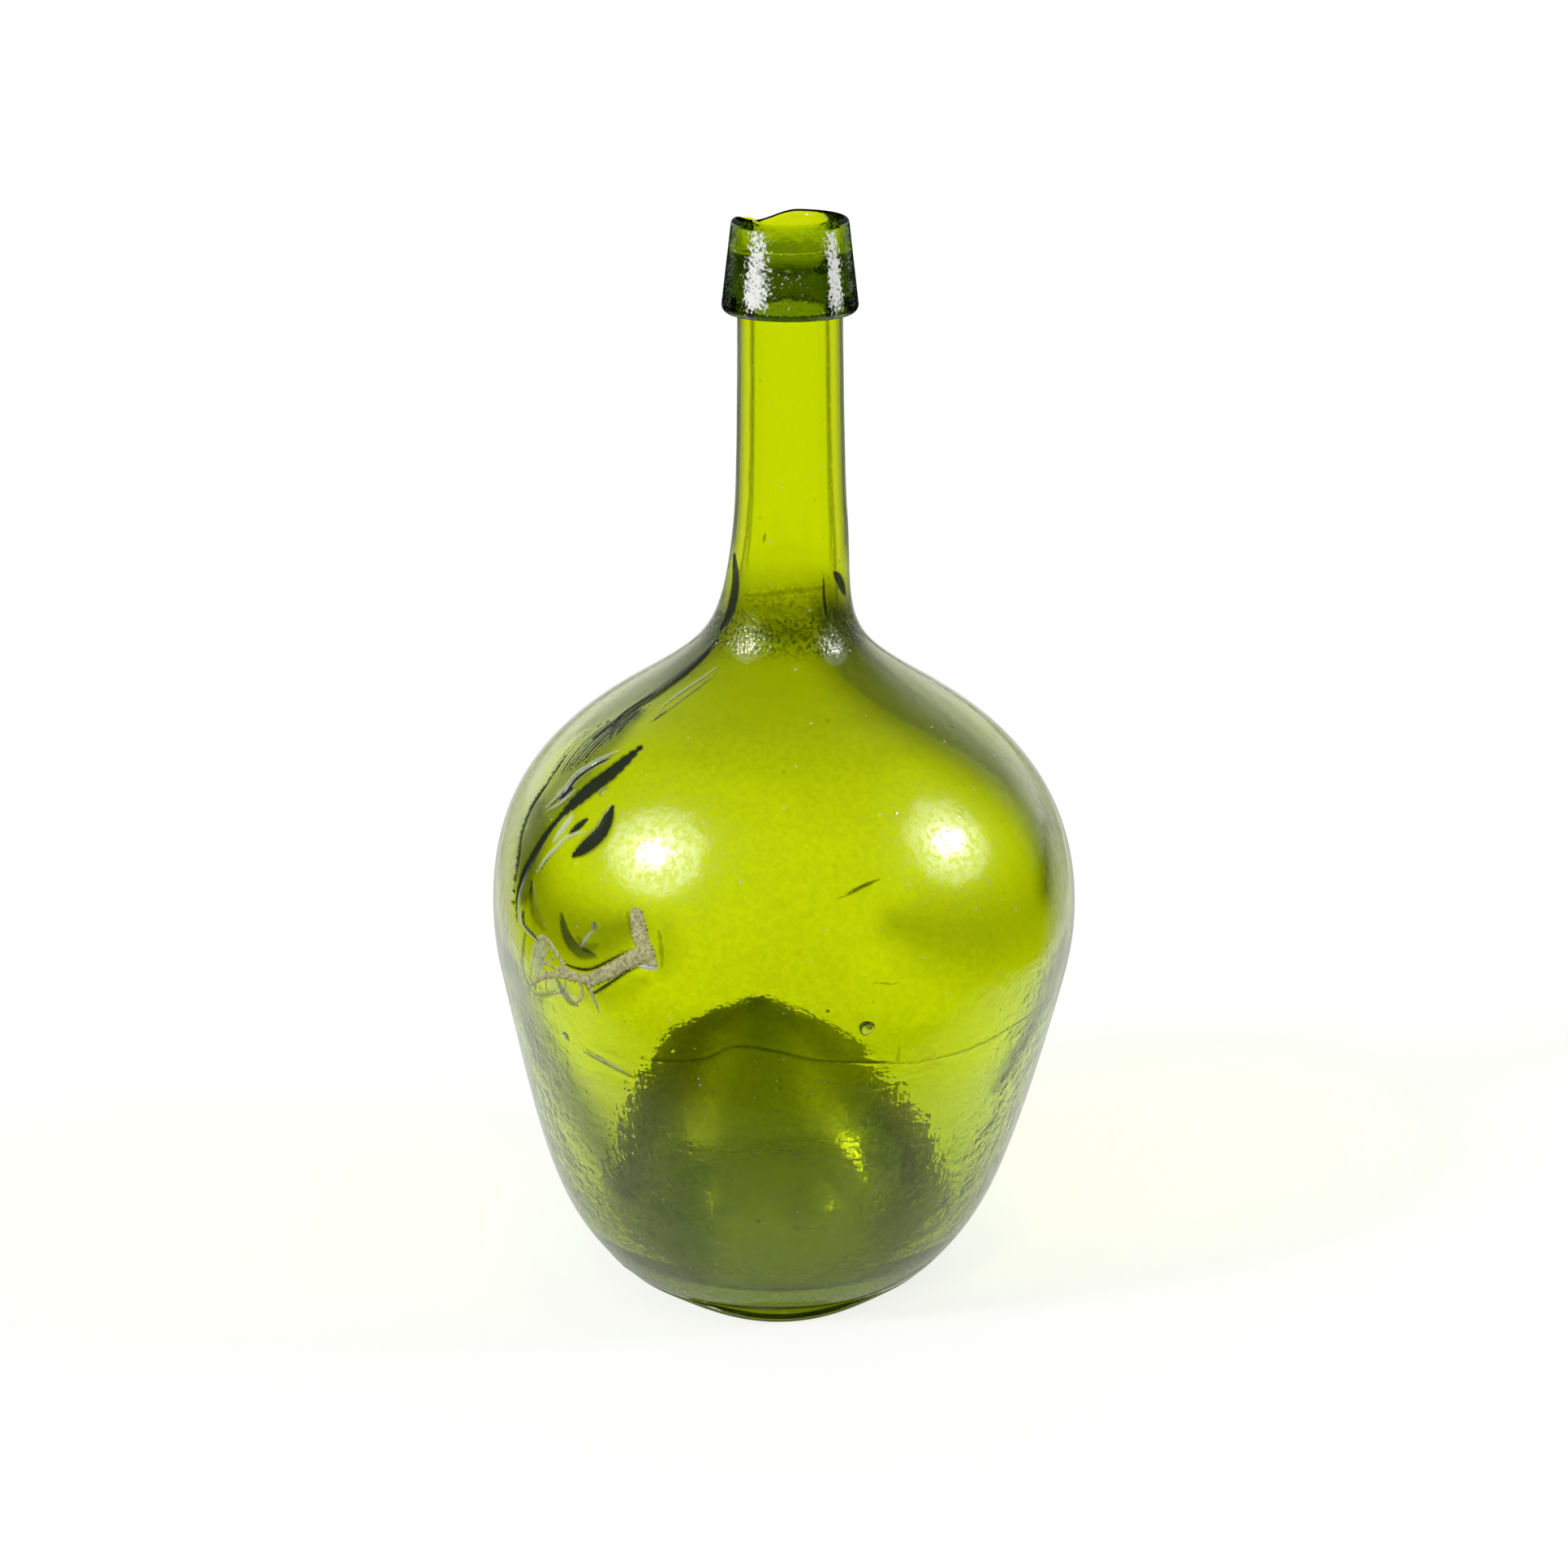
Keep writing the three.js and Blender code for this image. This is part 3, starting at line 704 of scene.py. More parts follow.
def addRays():
    # a fold with painted shade and a ridge with a painted highlight to its right, each lower and further left
    # than the one before
    for k in range(rays):
        start, end = (-150.5 - 1.9 * k, 197.5 - 1.35 * k), (-151.5 - 1.15 * k, 181.5 - 1.0 * k)
        bow = (mix(start[0], end[0], 0.5) - 1.2, mix(start[1], end[1], 0.5) + 0.5)
        half, dark = 0.75 + 0.15 * (k % 3), 0.85 if k % 2 else 0.55
        marks["ray" + str(k)] = ([start, bow, end], half, 0.4, dark, 0)
        lit = [(azimuth + 0.9, height) for azimuth, height in (start, bow, end)]
        marks["rayLight" + str(k)] = (lit, 0.5, 0.3, 0, 0.2)


addRays()


def outsideCurves():
    s = bodyShape
    heelLean = math.radians(s["heelLean"])
    heelX = s["restRingRadius"] + s["restRingWidth"] / 2
    heelTurn = Vector((math.cos(heelLean), -math.sin(heelLean)))
    heelTop = Vector((heelX, s["heelRound"])) + s["heelRound"] * heelTurn
    line, belly, shoulder = Vector(s["mouldLine"]), Vector(s["belly"]), Vector(s["shoulder"])
    neckRoot, neckEnd = Vector(s["neckRoot"]), Vector(s["neckEnd"])
    shoulderLean, rootLean = -s["shoulderLean"], -s["neckRootLean"]
    return [
        sweep(heelTop, s["heelLean"], s["lowerFullness"], line, s["mouldLineLean"], s["sideFullness"]),
        sweep(line, s["mouldLineLean"], s["beltFullness"], belly, 0, s["beltFullness"]),
        sweep(belly, 0, s["bellyFullness"], shoulder, shoulderLean, s["shoulderFullness"]),
        sweep(shoulder, shoulderLean, s["sweepFullness"], neckRoot, rootLean, s["neckRootFullness"]),
        sweep(neckRoot, rootLean, s["neckFullness"], neckEnd, -s["neckEndLean"], s["neckFullness"]),
    ]


def joined(curves, spacings):
    points = []
    for curve, spacing in zip(curves, spacings):
        points += [p for p in evenly(curve, spacing) if not points or (p - points[-1]).length > 0.05]
    return points


outside = joined(outsideCurves(), (0.5, 0.5, 0.5, 0.5, 1.0))


def kickUnder(spacing):
    # the hollow foot, from its top on the axis down to the floor
    s = bodyShape
    footX = s["restRingRadius"] - s["restRingWidth"] / 2
    base = Vector((footX - s["footEdgeRound"], s["footEdgeRound"]))
    crownDrop = s["kickCrown"] * math.tan(math.radians(s["kickPitch"]))
    crown = Vector((s["kickCrown"], s["kickHeight"] - crownDrop))
    flank = Vector((base.x + s["kickBulge"], s["kickFlank"]))
    return evenly(bezier(Vector((0, s["kickHeight"])), crown, flank, base), spacing)


def kickPlace(height):
    # how far along X the hollow foot stands at a height
    s = bodyShape
    lean = smooth(height, s["troughHeight"], s["kickHeight"] - s["kickLevel"])
    return along(s["wander"], height) - s["kickDrift"] * lean


def bodyOutline():
    # the outline, and the places in it where the outside, the inside of the wall and the end begin
    s = bodyShape
    footX = s["restRingRadius"] - s["restRingWidth"] / 2
    outer = joined(outsideCurves(), s["outerSpacings"])
    inner = thicken(joined(outsideCurves(), s["innerSpacings"]), lambda point: along(s["wall"], point.y))
    crest, topFoot = Vector((0, s["kickHeight"] + s["kickTopWall"])), Vector(s["kickTopFoot"])
    top = bezier(crest, crest + Vector(s["kickTopPull"]), Vector(s["kickTopFlank"]), topFoot)
    top = evenly(top, s["kickSpacing"])
    join = s["troughHeight"] + 1
    wallDown = [p for p in inner if p.y > join][::-1]
    kickUp = [p for p in top if p.y > join][::-1]
    wallX, kickX = radiusAt(inner, s["troughHeight"]), topFoot.x
    troughMiddle = Vector(((wallX + kickX) / 2, s["troughHeight"]))
    trough = arc(troughMiddle, (wallX - kickX) / 2, s["troughDepth"], 360, 180, 10)
    edge = arc(Vector((footX, s["footEdgeRound"])), s["footEdgeRound"], s["footEdgeRound"], 180, 270, 5)
    heel = [Vector(point) for point in flowing(s["heel"], 3)]
    foot = kickUnder(s["kickSpacing"]) + edge[1:] + heel
    outline = foot + outer[1:] + wallDown + trough + kickUp
    return outline, len(foot), len(foot) + len(outer) - 1, crest.y


bodyLook = {
    "grain": (850.0, 2.0),  # scale and detail of each pattern, and distortion
    "ripple": (45.0, 2.0),
    "hammer": (115.0, 2.0, 0.6),
    "chips": (480.0, 1.0),
    "streaks": (420.0, 2.0),
    "fibres": (600.0, 3.0),
    "hammerStretch": (1, 1, 1.9),
    "streakStretch": (1, 1, 0.22),
    "streakTurn": 40,
    "fibreStretch": (1, 1, 0.12),
    "seeds": (150.0, 0.0, 0.16),  # scale, and how far from their middles they are full and gone
    "seedLeast": (0.68, 0.2, 108, 120),  # the higher, the fewer; its rise, and between which heights
    "specks": (240.0, 0.02, 0.16, 0.8),
    "relief": {  # in millimetres
        "grain": 0.035,
        "ripple": 0.5,
        "hammer": 0.46,
        "streaks": 0.16,
        "chips": 0.1,
        "seeds": 0.14,
        "root": 0.3,
    },
    "innerRelief": 0.3,
    "mouldedTop": [(100, 108, 0.6), (112, 150, 0.4)],  # heights where the hammering fades, and by how much
    "mouldedFront": (30, 62, 0.4),  # the same from the sides to the middle
    "rootBand": (211, 217, 223, 229),  # heights of the rough band where the neck starts
    "rootSpecks": (0.45, 0.6, 0.25),
    "neck": (236, 246),  # heights over which the look of the neck begins
    "neckSides": [(0.42, 0.6, 0.55), (0.58, 0.68, 0.32)],  # how far turned away, and how much painted shade darkens it
    "neckLine": (0.25, 0.285, 0.295, 0.33, 0.5),
    "ofKick": (0.3, 0.5),  # the shade from which the inside belongs to the kick-up
    "kickFoot": (26, 54),  # heights from its foot's colour to its own
    "kickRough": (40, 62, 0.4),
    "upper": (165, 195),
    "lower": (88, 112),
    "edge": (0.88, 14, 10, 11.3),  # how sharply the haze keeps to the edge in the middle, above and below
    "contrast": (0.4, 0.6),  # between which the grain, the chips and the fibres show
    "haze": (0.4, 0.25, 0.3),  # everywhere, with the fibres, and on the belly
    "hazeShade": (0.6, 0.95, 0.45),  # the shades over which it thins above the belly, and how far
    "rim": (0.54, 0.74, 0.5, 0.2),
    "film": (0.015, 0.045, 0.07),  # everywhere, with the grain and with the chips
    "filmEdge": (0.25, 0.5, 0.85),
    "filmTop": (192, 215, 0.9),
    "fold": (0.91, 1.0, 0.9),  # the shades over which the glass turns to opaque painted black, and how far
    "foldFinish": (0.6, 0.1),  # roughness and gloss
    "dustAndSheenRoughness": 0.5,
    "veil": (0.5, 0.85, 0.55, 0.45),  # how far turned away, its least strength, and what the fibres add
    "veilFibres": (0.35, 0.65),
    "veilShade": (0.55, 0.95, 0.85),
    "seedShade": 0.6,
    "speckPale": 0.6,
    "palest": 0.95,
}


def bodyRelief(shader, patterns, outer, x, z):
    s, depth = bodyLook, bodyLook["relief"]
    moulded = 1 - sum(z.between(low, high) * part for low, high, part in s["mouldedTop"])
    middle, side, part = s["mouldedFront"]
    moulded = moulded * (1 - part + part * x.absolute().between(middle, side))
    hammering = sum(patterns[name] * depth[name] for name in ("hammer", "streaks", "chips"))
    relief = patterns["grain"] * depth["grain"] + patterns["ripple"] * depth["ripple"] + moulded * hammering
    relief = relief + patterns["seeds"] * depth["seeds"]
    relief = relief + patterns["root"] * patterns["grain"] * depth["root"]
    return relief * (s["innerRelief"] + outer * (1 - s["innerRelief"]))


def neckShade(facing, z):
    # painted shade on the sides of the neck as they turn away, and painted dark lines where its bore ends
    s = bodyLook
    low, high, end, gone, part = s["neckLine"]
    line = facing.between(low, high) * (1 - facing.between(end, gone)) * part
    sides = sum(facing.between(low, high) * part for low, high, part in s["neckSides"])
    return z.between(*s["neck"]) * (sides + line)


def haze(facing, fibres, shade, z):
    # the pale haze of dust on the wall, with painted sheen of the white room that grows towards its edges
    s = bodyLook
    power, ofUpper, ofLower = s["edge"][1:]
    upper, lower = z.between(*s["upper"]), 1 - z.between(*s["lower"])
    belly = (1 - upper) * (1 - lower)
    base, fibrous, onBelly = s["haze"]
    edge = (facing / s["edge"][0]) ** (power - upper * ofUpper - lower * ofLower)
    edge = edge * (base + fibrous * fibres + belly * onBelly)
    low, high, base, fibrous = s["rim"]
    rim = belly * facing.between(low, high) * (base + fibrous * fibres)
    low, high, part = s["hazeShade"]
    return edge.largest(rim) * (1 - upper * shade.between(low, high) * part)


def bodyGlass():
    s = bodyLook
    material, shader = newMaterial("greenGlass")
    place = objectPlace(shader)
    x, z = (part / mm for part in axes(shader, place, "XZ"))
    inner, outer, shade = mark(shader, "inner"), mark(shader, "outer"), mark(shader, "shade")
    facing = facingOf(shader)
    patterns = {name: noise(shader, place, *s[name]) for name in ("grain", "ripple", "chips")}
    patterns["hammer"] = noise(shader, stretched(shader, place, s["hammerStretch"]), *s["hammer"])
    slanted = stretched(shader, place, s["streakStretch"], s["streakTurn"])
    patterns["streaks"] = noise(shader, slanted, *s["streaks"])
    fibres = noise(shader, stretched(shader, place, s["fibreStretch"]), *s["fibres"])
    least, rise, low, high = s["seedLeast"]
    seeds = scattered(shader, place, *s["seeds"], least + rise * z.between(low, high))
    low, high, end, gone = s["rootBand"]
    root = z.between(low, high) * (1 - z.between(end, gone)) * outer
    patterns.update(seeds=seeds, root=root)
    bump = bumpOf(shader, bodyRelief(shader, patterns, outer, x, z))
    grain, chips = (patterns[name].between(*s["contrast"]) for name in ("grain", "chips"))

    # painted shade on the kick-up's top, lighter low in its middle and darker to its sides
    ofKick = inner * shade.between(*s["ofKick"])
    foot, middle, sides = (colour(*glassLook[name]) for name in ("kickFoot", "kickMiddle", "kickSides"))
    kick = shader.mixColour(z.between(*s["kickFoot"]), foot, middle)
    kick = shader.mixColour(shade.between(*bodyShape["kickShade"]), kick, sides)
    low, high, rough = s["kickRough"]
    start, full, part = s["rootSpecks"]
    darker = neckShade(facing, z) * outer + root * patterns["grain"].between(start, full) * part
    tint = tinted(shader, shade.largest(seeds * s["seedShade"]) + darker, "shadeColour")
    glass = clearGlass(shader, shader.mixColour(ofKick, tint, kick),
                       glassLook["roughness"] + ofKick * z.between(low, high) * rough, bump)

    film = shader.node("ShaderNodeBsdfPrincipled", None, {
        "Base Color": colour(*glassLook["film"]),
        "Metallic": 1.0,
        "Roughness": glassLook["filmRoughness"],
        "Normal": bump,
    })
    base, grainy, chipped = s["film"]
    blurred = outer * (base + grainy * grain + chipped * chips)
    low, high, part = s["filmEdge"]
    blurred = blurred * (1 - facing.between(low, high) * part)
    low, high, part = s["filmTop"]
    blurred = blurred * (1 - z.between(low, high) * part)
    surface = shader.mixShader(blurred, glass, film)

    # opaque painted black where the shade is deepest
    low, high, part = s["fold"]
    rough, gloss = s["foldFinish"]
    surface = crusted(shader, surface, shade.between(low, high) * part, glassLook["fold"], rough, bump, gloss)
    low, high, base, fibrous = s["veil"]
    strength = base + fibrous * fibres.between(*s["veilFibres"])
    veiled = mark(shader, "veil") * facing.between(low, high) * strength
    low, high, part = s["veilShade"]
    veiled = veiled * (1 - shade.between(low, high) * part)
    specks = scattered(shader, place, *s["specks"]) * outer * s["speckPale"]
    # pale dust over the glass, with painted sheen towards its edges and painted highlights on the marks
    pale = (outer * haze(facing, fibres.between(*s["contrast"]), shade, z)).largest(veiled)
    pale = pale.largest(mark(shader, "pale")).largest(specks).smallest(s["palest"])
    surface = crusted(shader, surface, pale, glassLook["dustAndSheen"], s["dustAndSheenRoughness"], bump)
    finishGlass(shader, surface, glassLook["absorption"], mark(shader, "fused"))
    return material


def partsOf(piece, outline, starts):
    # for each face, how many of the starts lie before its place in the outline
    stations = np.array([(p.x, p.y) for p in outline])
    middles = (stations[1:] + stations[:-1]) / 2
    found = []
    for face in piece.data.polygons:
        centre = face.center / mm
        gaps = (middles[:, 0] - math.hypot(centre.x, centre.y)) ** 2 + (middles[:, 1] - centre.z) ** 2
        found.append(int(np.searchsorted(starts, gaps.argmin(), side="right")))
    return found


def onGlass(azimuth, height, lift=0):
    # place on the outside of the glass, raised square to it
    low, here = (Vector((radiusAt(outside, level), level)) for level in (height - 1, height))
    rise = (here - low).normalized()
    radius, turn = here.x + rise.y * lift, math.radians(azimuth)
    x = along(bodyShape["wander"], height) + radius * math.cos(turn)
    return Vector((x, radius * math.sin(turn), height - rise.x * lift))


def nearness(places, points, reach):
    # for each place, one on the line and nothing beyond its reach, which narrows to both ends
    line = np.array(evenly([onGlass(*point) for point in flowing(points)], 0.5 if reach < 5 else 3))
    share = np.linspace(0, 1, len(line))
    width = reach * np.sqrt(np.clip(4 * share * (1 - share), 0.15, 1))
    found = np.zeros(len(places))
    low, high = line.min(axis=0) - reach, line.max(axis=0) + reach
    close = np.all((places > low) & (places < high), axis=1).nonzero()[0]
    if len(close):
        gaps = np.sqrt(((places[close, None] - line[None]) ** 2).sum(axis=2)) / width
        found[close] = np.clip(1 - gaps.min(axis=1), 0, 1)
    return found


def eased(values, low, high):
    share = np.clip((values - low) / (high - low), 0, 1)
    return share * share * (3 - 2 * share)


def refine(piece):
    # smaller faces where a mark runs
    centres = np.array([face.center / mm for face in piece.data.polygons])
    outer = np.zeros(len(centres))
    piece.data.attributes["outer"].data.foreach_get("value", outer)
    marked = np.zeros(len(centres))
    for points, half, *looks in marks.values():
        marked = np.maximum(marked, nearness(centres, points, half + bodyShape["markMargin"]))
    piece.data.polygons.foreach_set("select", (marked > 0) & (outer > 0))
    bpy.context.view_layer.objects.active = piece
    bpy.ops.object.mode_set(mode="EDIT")
    bpy.ops.mesh.select_mode(type="FACE")
    bpy.ops.mesh.subdivide(number_cuts=bodyShape["markCuts"])
    bpy.ops.mesh.select_all(action="DESELECT")
    bpy.ops.object.mode_set(mode="OBJECT")


def cornersOf(piece):
    corners = np.zeros(3 * len(piece.data.vertices), dtype=np.float32)
    piece.data.vertices.foreach_get("co", corners)
    return corners.reshape(-1, 3).astype(float) / mm


def moveCorners(piece, corners):
    piece.data.vertices.foreach_set("co", (corners * mm).astype(np.float32).ravel())
    piece.data.update()


def cornersWith(piece, name):
    # which corners belong to faces that carry a mark
    marked = np.zeros(len(piece.data.vertices), dtype=bool)
    for face, value in zip(piece.data.polygons, piece.data.attributes[name].data):
        if value.value:
            marked[list(face.vertices)] = True
    return marked


def fromAxis(corners):
    # how far along X the glass stands at each corner, and the corner's distance from there
    drift = np.array([along(bodyShape["wander"], height) for height in corners[:, 2]])
    return drift, np.hypot(corners[:, 0] - drift, corners[:, 1])


def scaleRadius(piece, corners, drift, scale):
    corners[:, 0], corners[:, 1] = (corners[:, 0] - drift) * scale + drift, corners[:, 1] * scale
    moveCorners(piece, corners)


def fitOutside(piece, marked):
    # the corners of the refined faces laid back onto the round outline
    corners = cornersOf(piece)
    drift, radius = fromAxis(corners)
    wanted = np.interp(corners[:, 2], [p.y for p in outside], [p.x for p in outside])
    scaleRadius(piece, corners, drift, np.where(marked, wanted / np.maximum(radius, 1e-6), 1))


def markGlass(piece, marked):
    # the marks' relief, painted shade and pallor, and the wide patches of painted shade
    s = bodyShape
    corners = cornersOf(piece)
    rise, pale = np.zeros(len(corners)), np.zeros(len(corners))
    # painted shade by height, darkest round the shoulder
    clear = 1 - np.array([along(s["shade"], height) for height in corners[:, 2]])
    for points, half, amount, full in paintedShades.values():
        clear *= 1 - amount * eased(nearness(corners, points, half), 0, full)
    clear = np.maximum(clear, leastClear)
    for points, half, height, dark, light in marks.values():
        near = nearness(corners, points, half)
        rise += height * eased(near, 0, 1)
        clear *= 1 - dark * eased(near, 0, s["darkFrom"])
        pale = np.maximum(pale, light * eased(near, 0, s["paleFrom"]))
    drift, radius = fromAxis(corners)
    scaleRadius(piece, corners, drift, np.where(marked, 1 + rise / np.maximum(radius, 1e-6), 1))
    # painted shade of the kick-up's top, darker away from its middle
    inKick = (radius < s["kickTopFoot"][0] + 3) & (corners[:, 2] < s["kickHeight"] + 13)
    inKick = inKick & cornersWith(piece, "inner")
    low, high = s["kickShade"]
    middle, start, end = s["kickMiddle"]
    kick = low + (high - low) * eased(np.abs(corners[:, 0] - middle), start, end)
    # painted shadow on the heel, below the foot's top
    onFoot = (radius > s["restRingRadius"] - 4) & (corners[:, 2] < s["footTop"])
    heel = np.where(onFoot, s["footShade"], 0)
    setMark(piece, "shade", np.where(marked, 1 - clear, np.where(inKick, kick, heel)), "POINT")
    points, half, amount = veil
    veiled = amount * eased(nearness(corners, points, half), 0, s["veilFrom"])
    setMark(piece, "veil", np.where(marked, veiled, 0), "POINT")
    setMark(piece, "pale", np.where(marked, pale, 0), "POINT")


def makeBody():
    s = bodyShape
    outline, outsideStart, insideStart, kickTop = bodyOutline()
    footX, footHeight = s["kickTopFoot"]
    kickSide = [p for p in outline[insideStart:] if p.x < footX and footHeight < p.y <= kickTop]
    body = turned("demijohnBody", outline, s["turnSteps"])
    parts = partsOf(body, outline, [outsideStart, insideStart])
    heights = [face.center.z / mm for face in body.data.polygons]
    seat, end = collarShape["bottom"], s["neckEnd"][1] - 0.05
    fused = [height > (seat if part == 1 else end) for height, part in zip(heights, parts)]
    setMark(body, "outer", [part == 1 for part in parts])
    setMark(body, "inner", [part == 2 for part in parts])
    setMark(body, "fused", fused)

    def kickX(height):
        return radiusAt(kickSide, max(height, kickSide[0].y + 1))

    def place(point):
        azimuth, radius = math.degrees(math.atan2(point.y, point.x)), max(math.hypot(point.x, point.y), 1)
        ofFoot = radius < s["restRingRadius"] + 5 and point.z <= kickTop
        lifts = []
        # the heel pushed out in front, its dark glass standing in for the heel's shadow on the floor
        if radius > s["restRingRadius"] - 2 and point.z < s["footTop"]:
            out, middle, reach = s["heelShadowBulge"]
            ofHeel = 1 - smooth(point.z, *s["heelShadowBulgeTop"])
            lifts.append(out * swell(turnBetween(azimuth, middle), reach) * ofHeel)
        if ofFoot and radius > kickX(point.z) - 1:
            for where, height, reach, rise in s["ledges"]:
                near = math.hypot(radius * math.radians(turnBetween(azimuth, where)), point.z - height)
                lifts.append(rise * swell(near, reach))
        for lift in lifts:
            point.x, point.y = point.x * (1 + lift / radius), point.y * (1 + lift / radius)
        point.x += kickPlace(point.z) if ofFoot else along(s["wander"], point.z)
        return point

    reshape(body, place)
    refine(body)
    marked = cornersWith(body, "outer")
    fitOutside(body, marked)
    markGlass(body, marked)
    shadeSmooth(body)
    hand(body, "glass_body", "green_glass", bodyGlass())
    print("Body has", len(body.data.vertices), "corners")


# Collar

collarShape = {
    "bottom": 315.3,
    "height": 28.4,
    "bottomRadius": 20.9,
    "topRadius": 17.9,
    "mouthRadius": 11.1,
    "edgeRound": 2.6,
    "lipRound": 1.6,
    "seatGap": 0.3,  # round the neck, and over its end
    "endGap": 0.06,
    "lipDip": 2.6,
    "lipDipAzimuth": 127,
    "lipDipSpread": 46,
    "lipTilt": 0.6,
    "lipCrestAzimuth": 72,
    "lipReach": 8,
    "turnSteps": 180,
    "shade": 0.95,  # painted shade below the end of the neck
    "mottle": 0.16,
    "roughness": 0.05,
    "highlightBloom": [(-121, 9, 1), (-47.5, 6, 1), (40, 12, 0.7), (150, 12, 0.7)],  # white bloom in upright bands, the two in front painted highlights of the lamps: azimuth, half width, strength
    "highlightBloomColour": (0.93, 0.95, 0.9),
    "highlightBloomRoughness": 0.35,
    "hidden": (-90, 55),  # azimuth and half width of the part of the lip that gives no reflection
    "hiddenFrom": (0.05, 0.7),  # how far above the lip's round that starts, there and elsewhere
    "rimWidth": 1.5,  # of the dark edge round the rest of the lip
    "grain": (1000.0, 3.0),  # scale and detail
    "cloud": (200.0, 2.0),
    "relief": (0.1, 0.3),  # of the grain and the cloud
    "highlightBloomHeights": (315.5, 322, 328, 342, 340.5, 342.5),  # it begins, thins and ends between these
    "highlightBloomThin": 0.4,
    "sparkle": (0.8, 0.2, 0.34, 0.6, 0.8),  # shares of grain, cloud and the highlight bands, and where their sum shows
    "edge": (0.9, 0.8, 0.1, 0.88, 1.15),  # the same of turning away, grain and height, for the painted shade on its sides
    "edgeHeights": (315, 340),
    "edgeCover": 0.93,
    "shadeTop": (331, 336),
}


def band(azimuth, middle, half):
    # one at the middle of an upright band of the collar, easing to nothing past its edges
    return 1 - (azimuth - middle).absolute().between(0, half * 2.4)


def collarGlass():
    s = collarShape
    material, shader = newMaterial("collarGlass")
    place = objectPlace(shader)
    x, y, z = (part / mm for part in axes(shader, place))
    azimuth = y.math("ARCTAN2", y, x - along(bodyShape["wander"], s["bottom"])) * (180 / math.pi)
    grain, cloud = noise(shader, place, *s["grain"]), noise(shader, place, *s["cloud"])
    facing, outer = facingOf(shader), mark(shader, "outer")
    ofGrain, ofCloud = s["relief"]
    bump = bumpOf(shader, grain * ofGrain + cloud * ofCloud)
    dark = s["shade"] * (1 - z.between(*s["shadeTop"])) + s["mottle"] * (grain - 0.5)
    glass = clearGlass(shader, tinted(shader, dark, "collarShadeColour"), s["roughness"], bump)

    # painted shade: opaque black over the sides as they turn away, and over the rim
    ofFacing, ofGrain, ofHeight, low, high = s["edge"]
    edge = facing * ofFacing + grain * ofGrain - z.between(*s["edgeHeights"]) * ofHeight
    edge = edge.between(low, high)
    edge = (edge * outer).largest(mark(shader, "rim")) * s["edgeCover"]
    surface = crusted(shader, glass, edge, glassLook["fold"], 1.0, bump, 0.0)

    # painted highlights of the lamps, as white bloom in upright bands
    bottom, full, thinFrom, thin, endFrom, end = s["highlightBloomHeights"]
    highlightBloom = sum(band(azimuth, middle, half) * strength for middle, half, strength in s["highlightBloom"])
    highlightBloom = highlightBloom * z.between(bottom, full) * (1 - s["highlightBloomThin"] * z.between(thinFrom, thin))
    highlightBloom = highlightBloom * (1 - z.between(endFrom, end))
    ofGrain, ofCloud, ofHighlightBloom, low, high = s["sparkle"]
    sparkle = (grain * ofGrain + cloud * ofCloud + highlightBloom * ofHighlightBloom).between(low, high)
    surface = crusted(shader, surface, sparkle * outer, s["highlightBloomColour"], s["highlightBloomRoughness"], bump)
    finishGlass(shader, surface, glassLook["collarAbsorption"], mark(shader, "fused"))
    return material


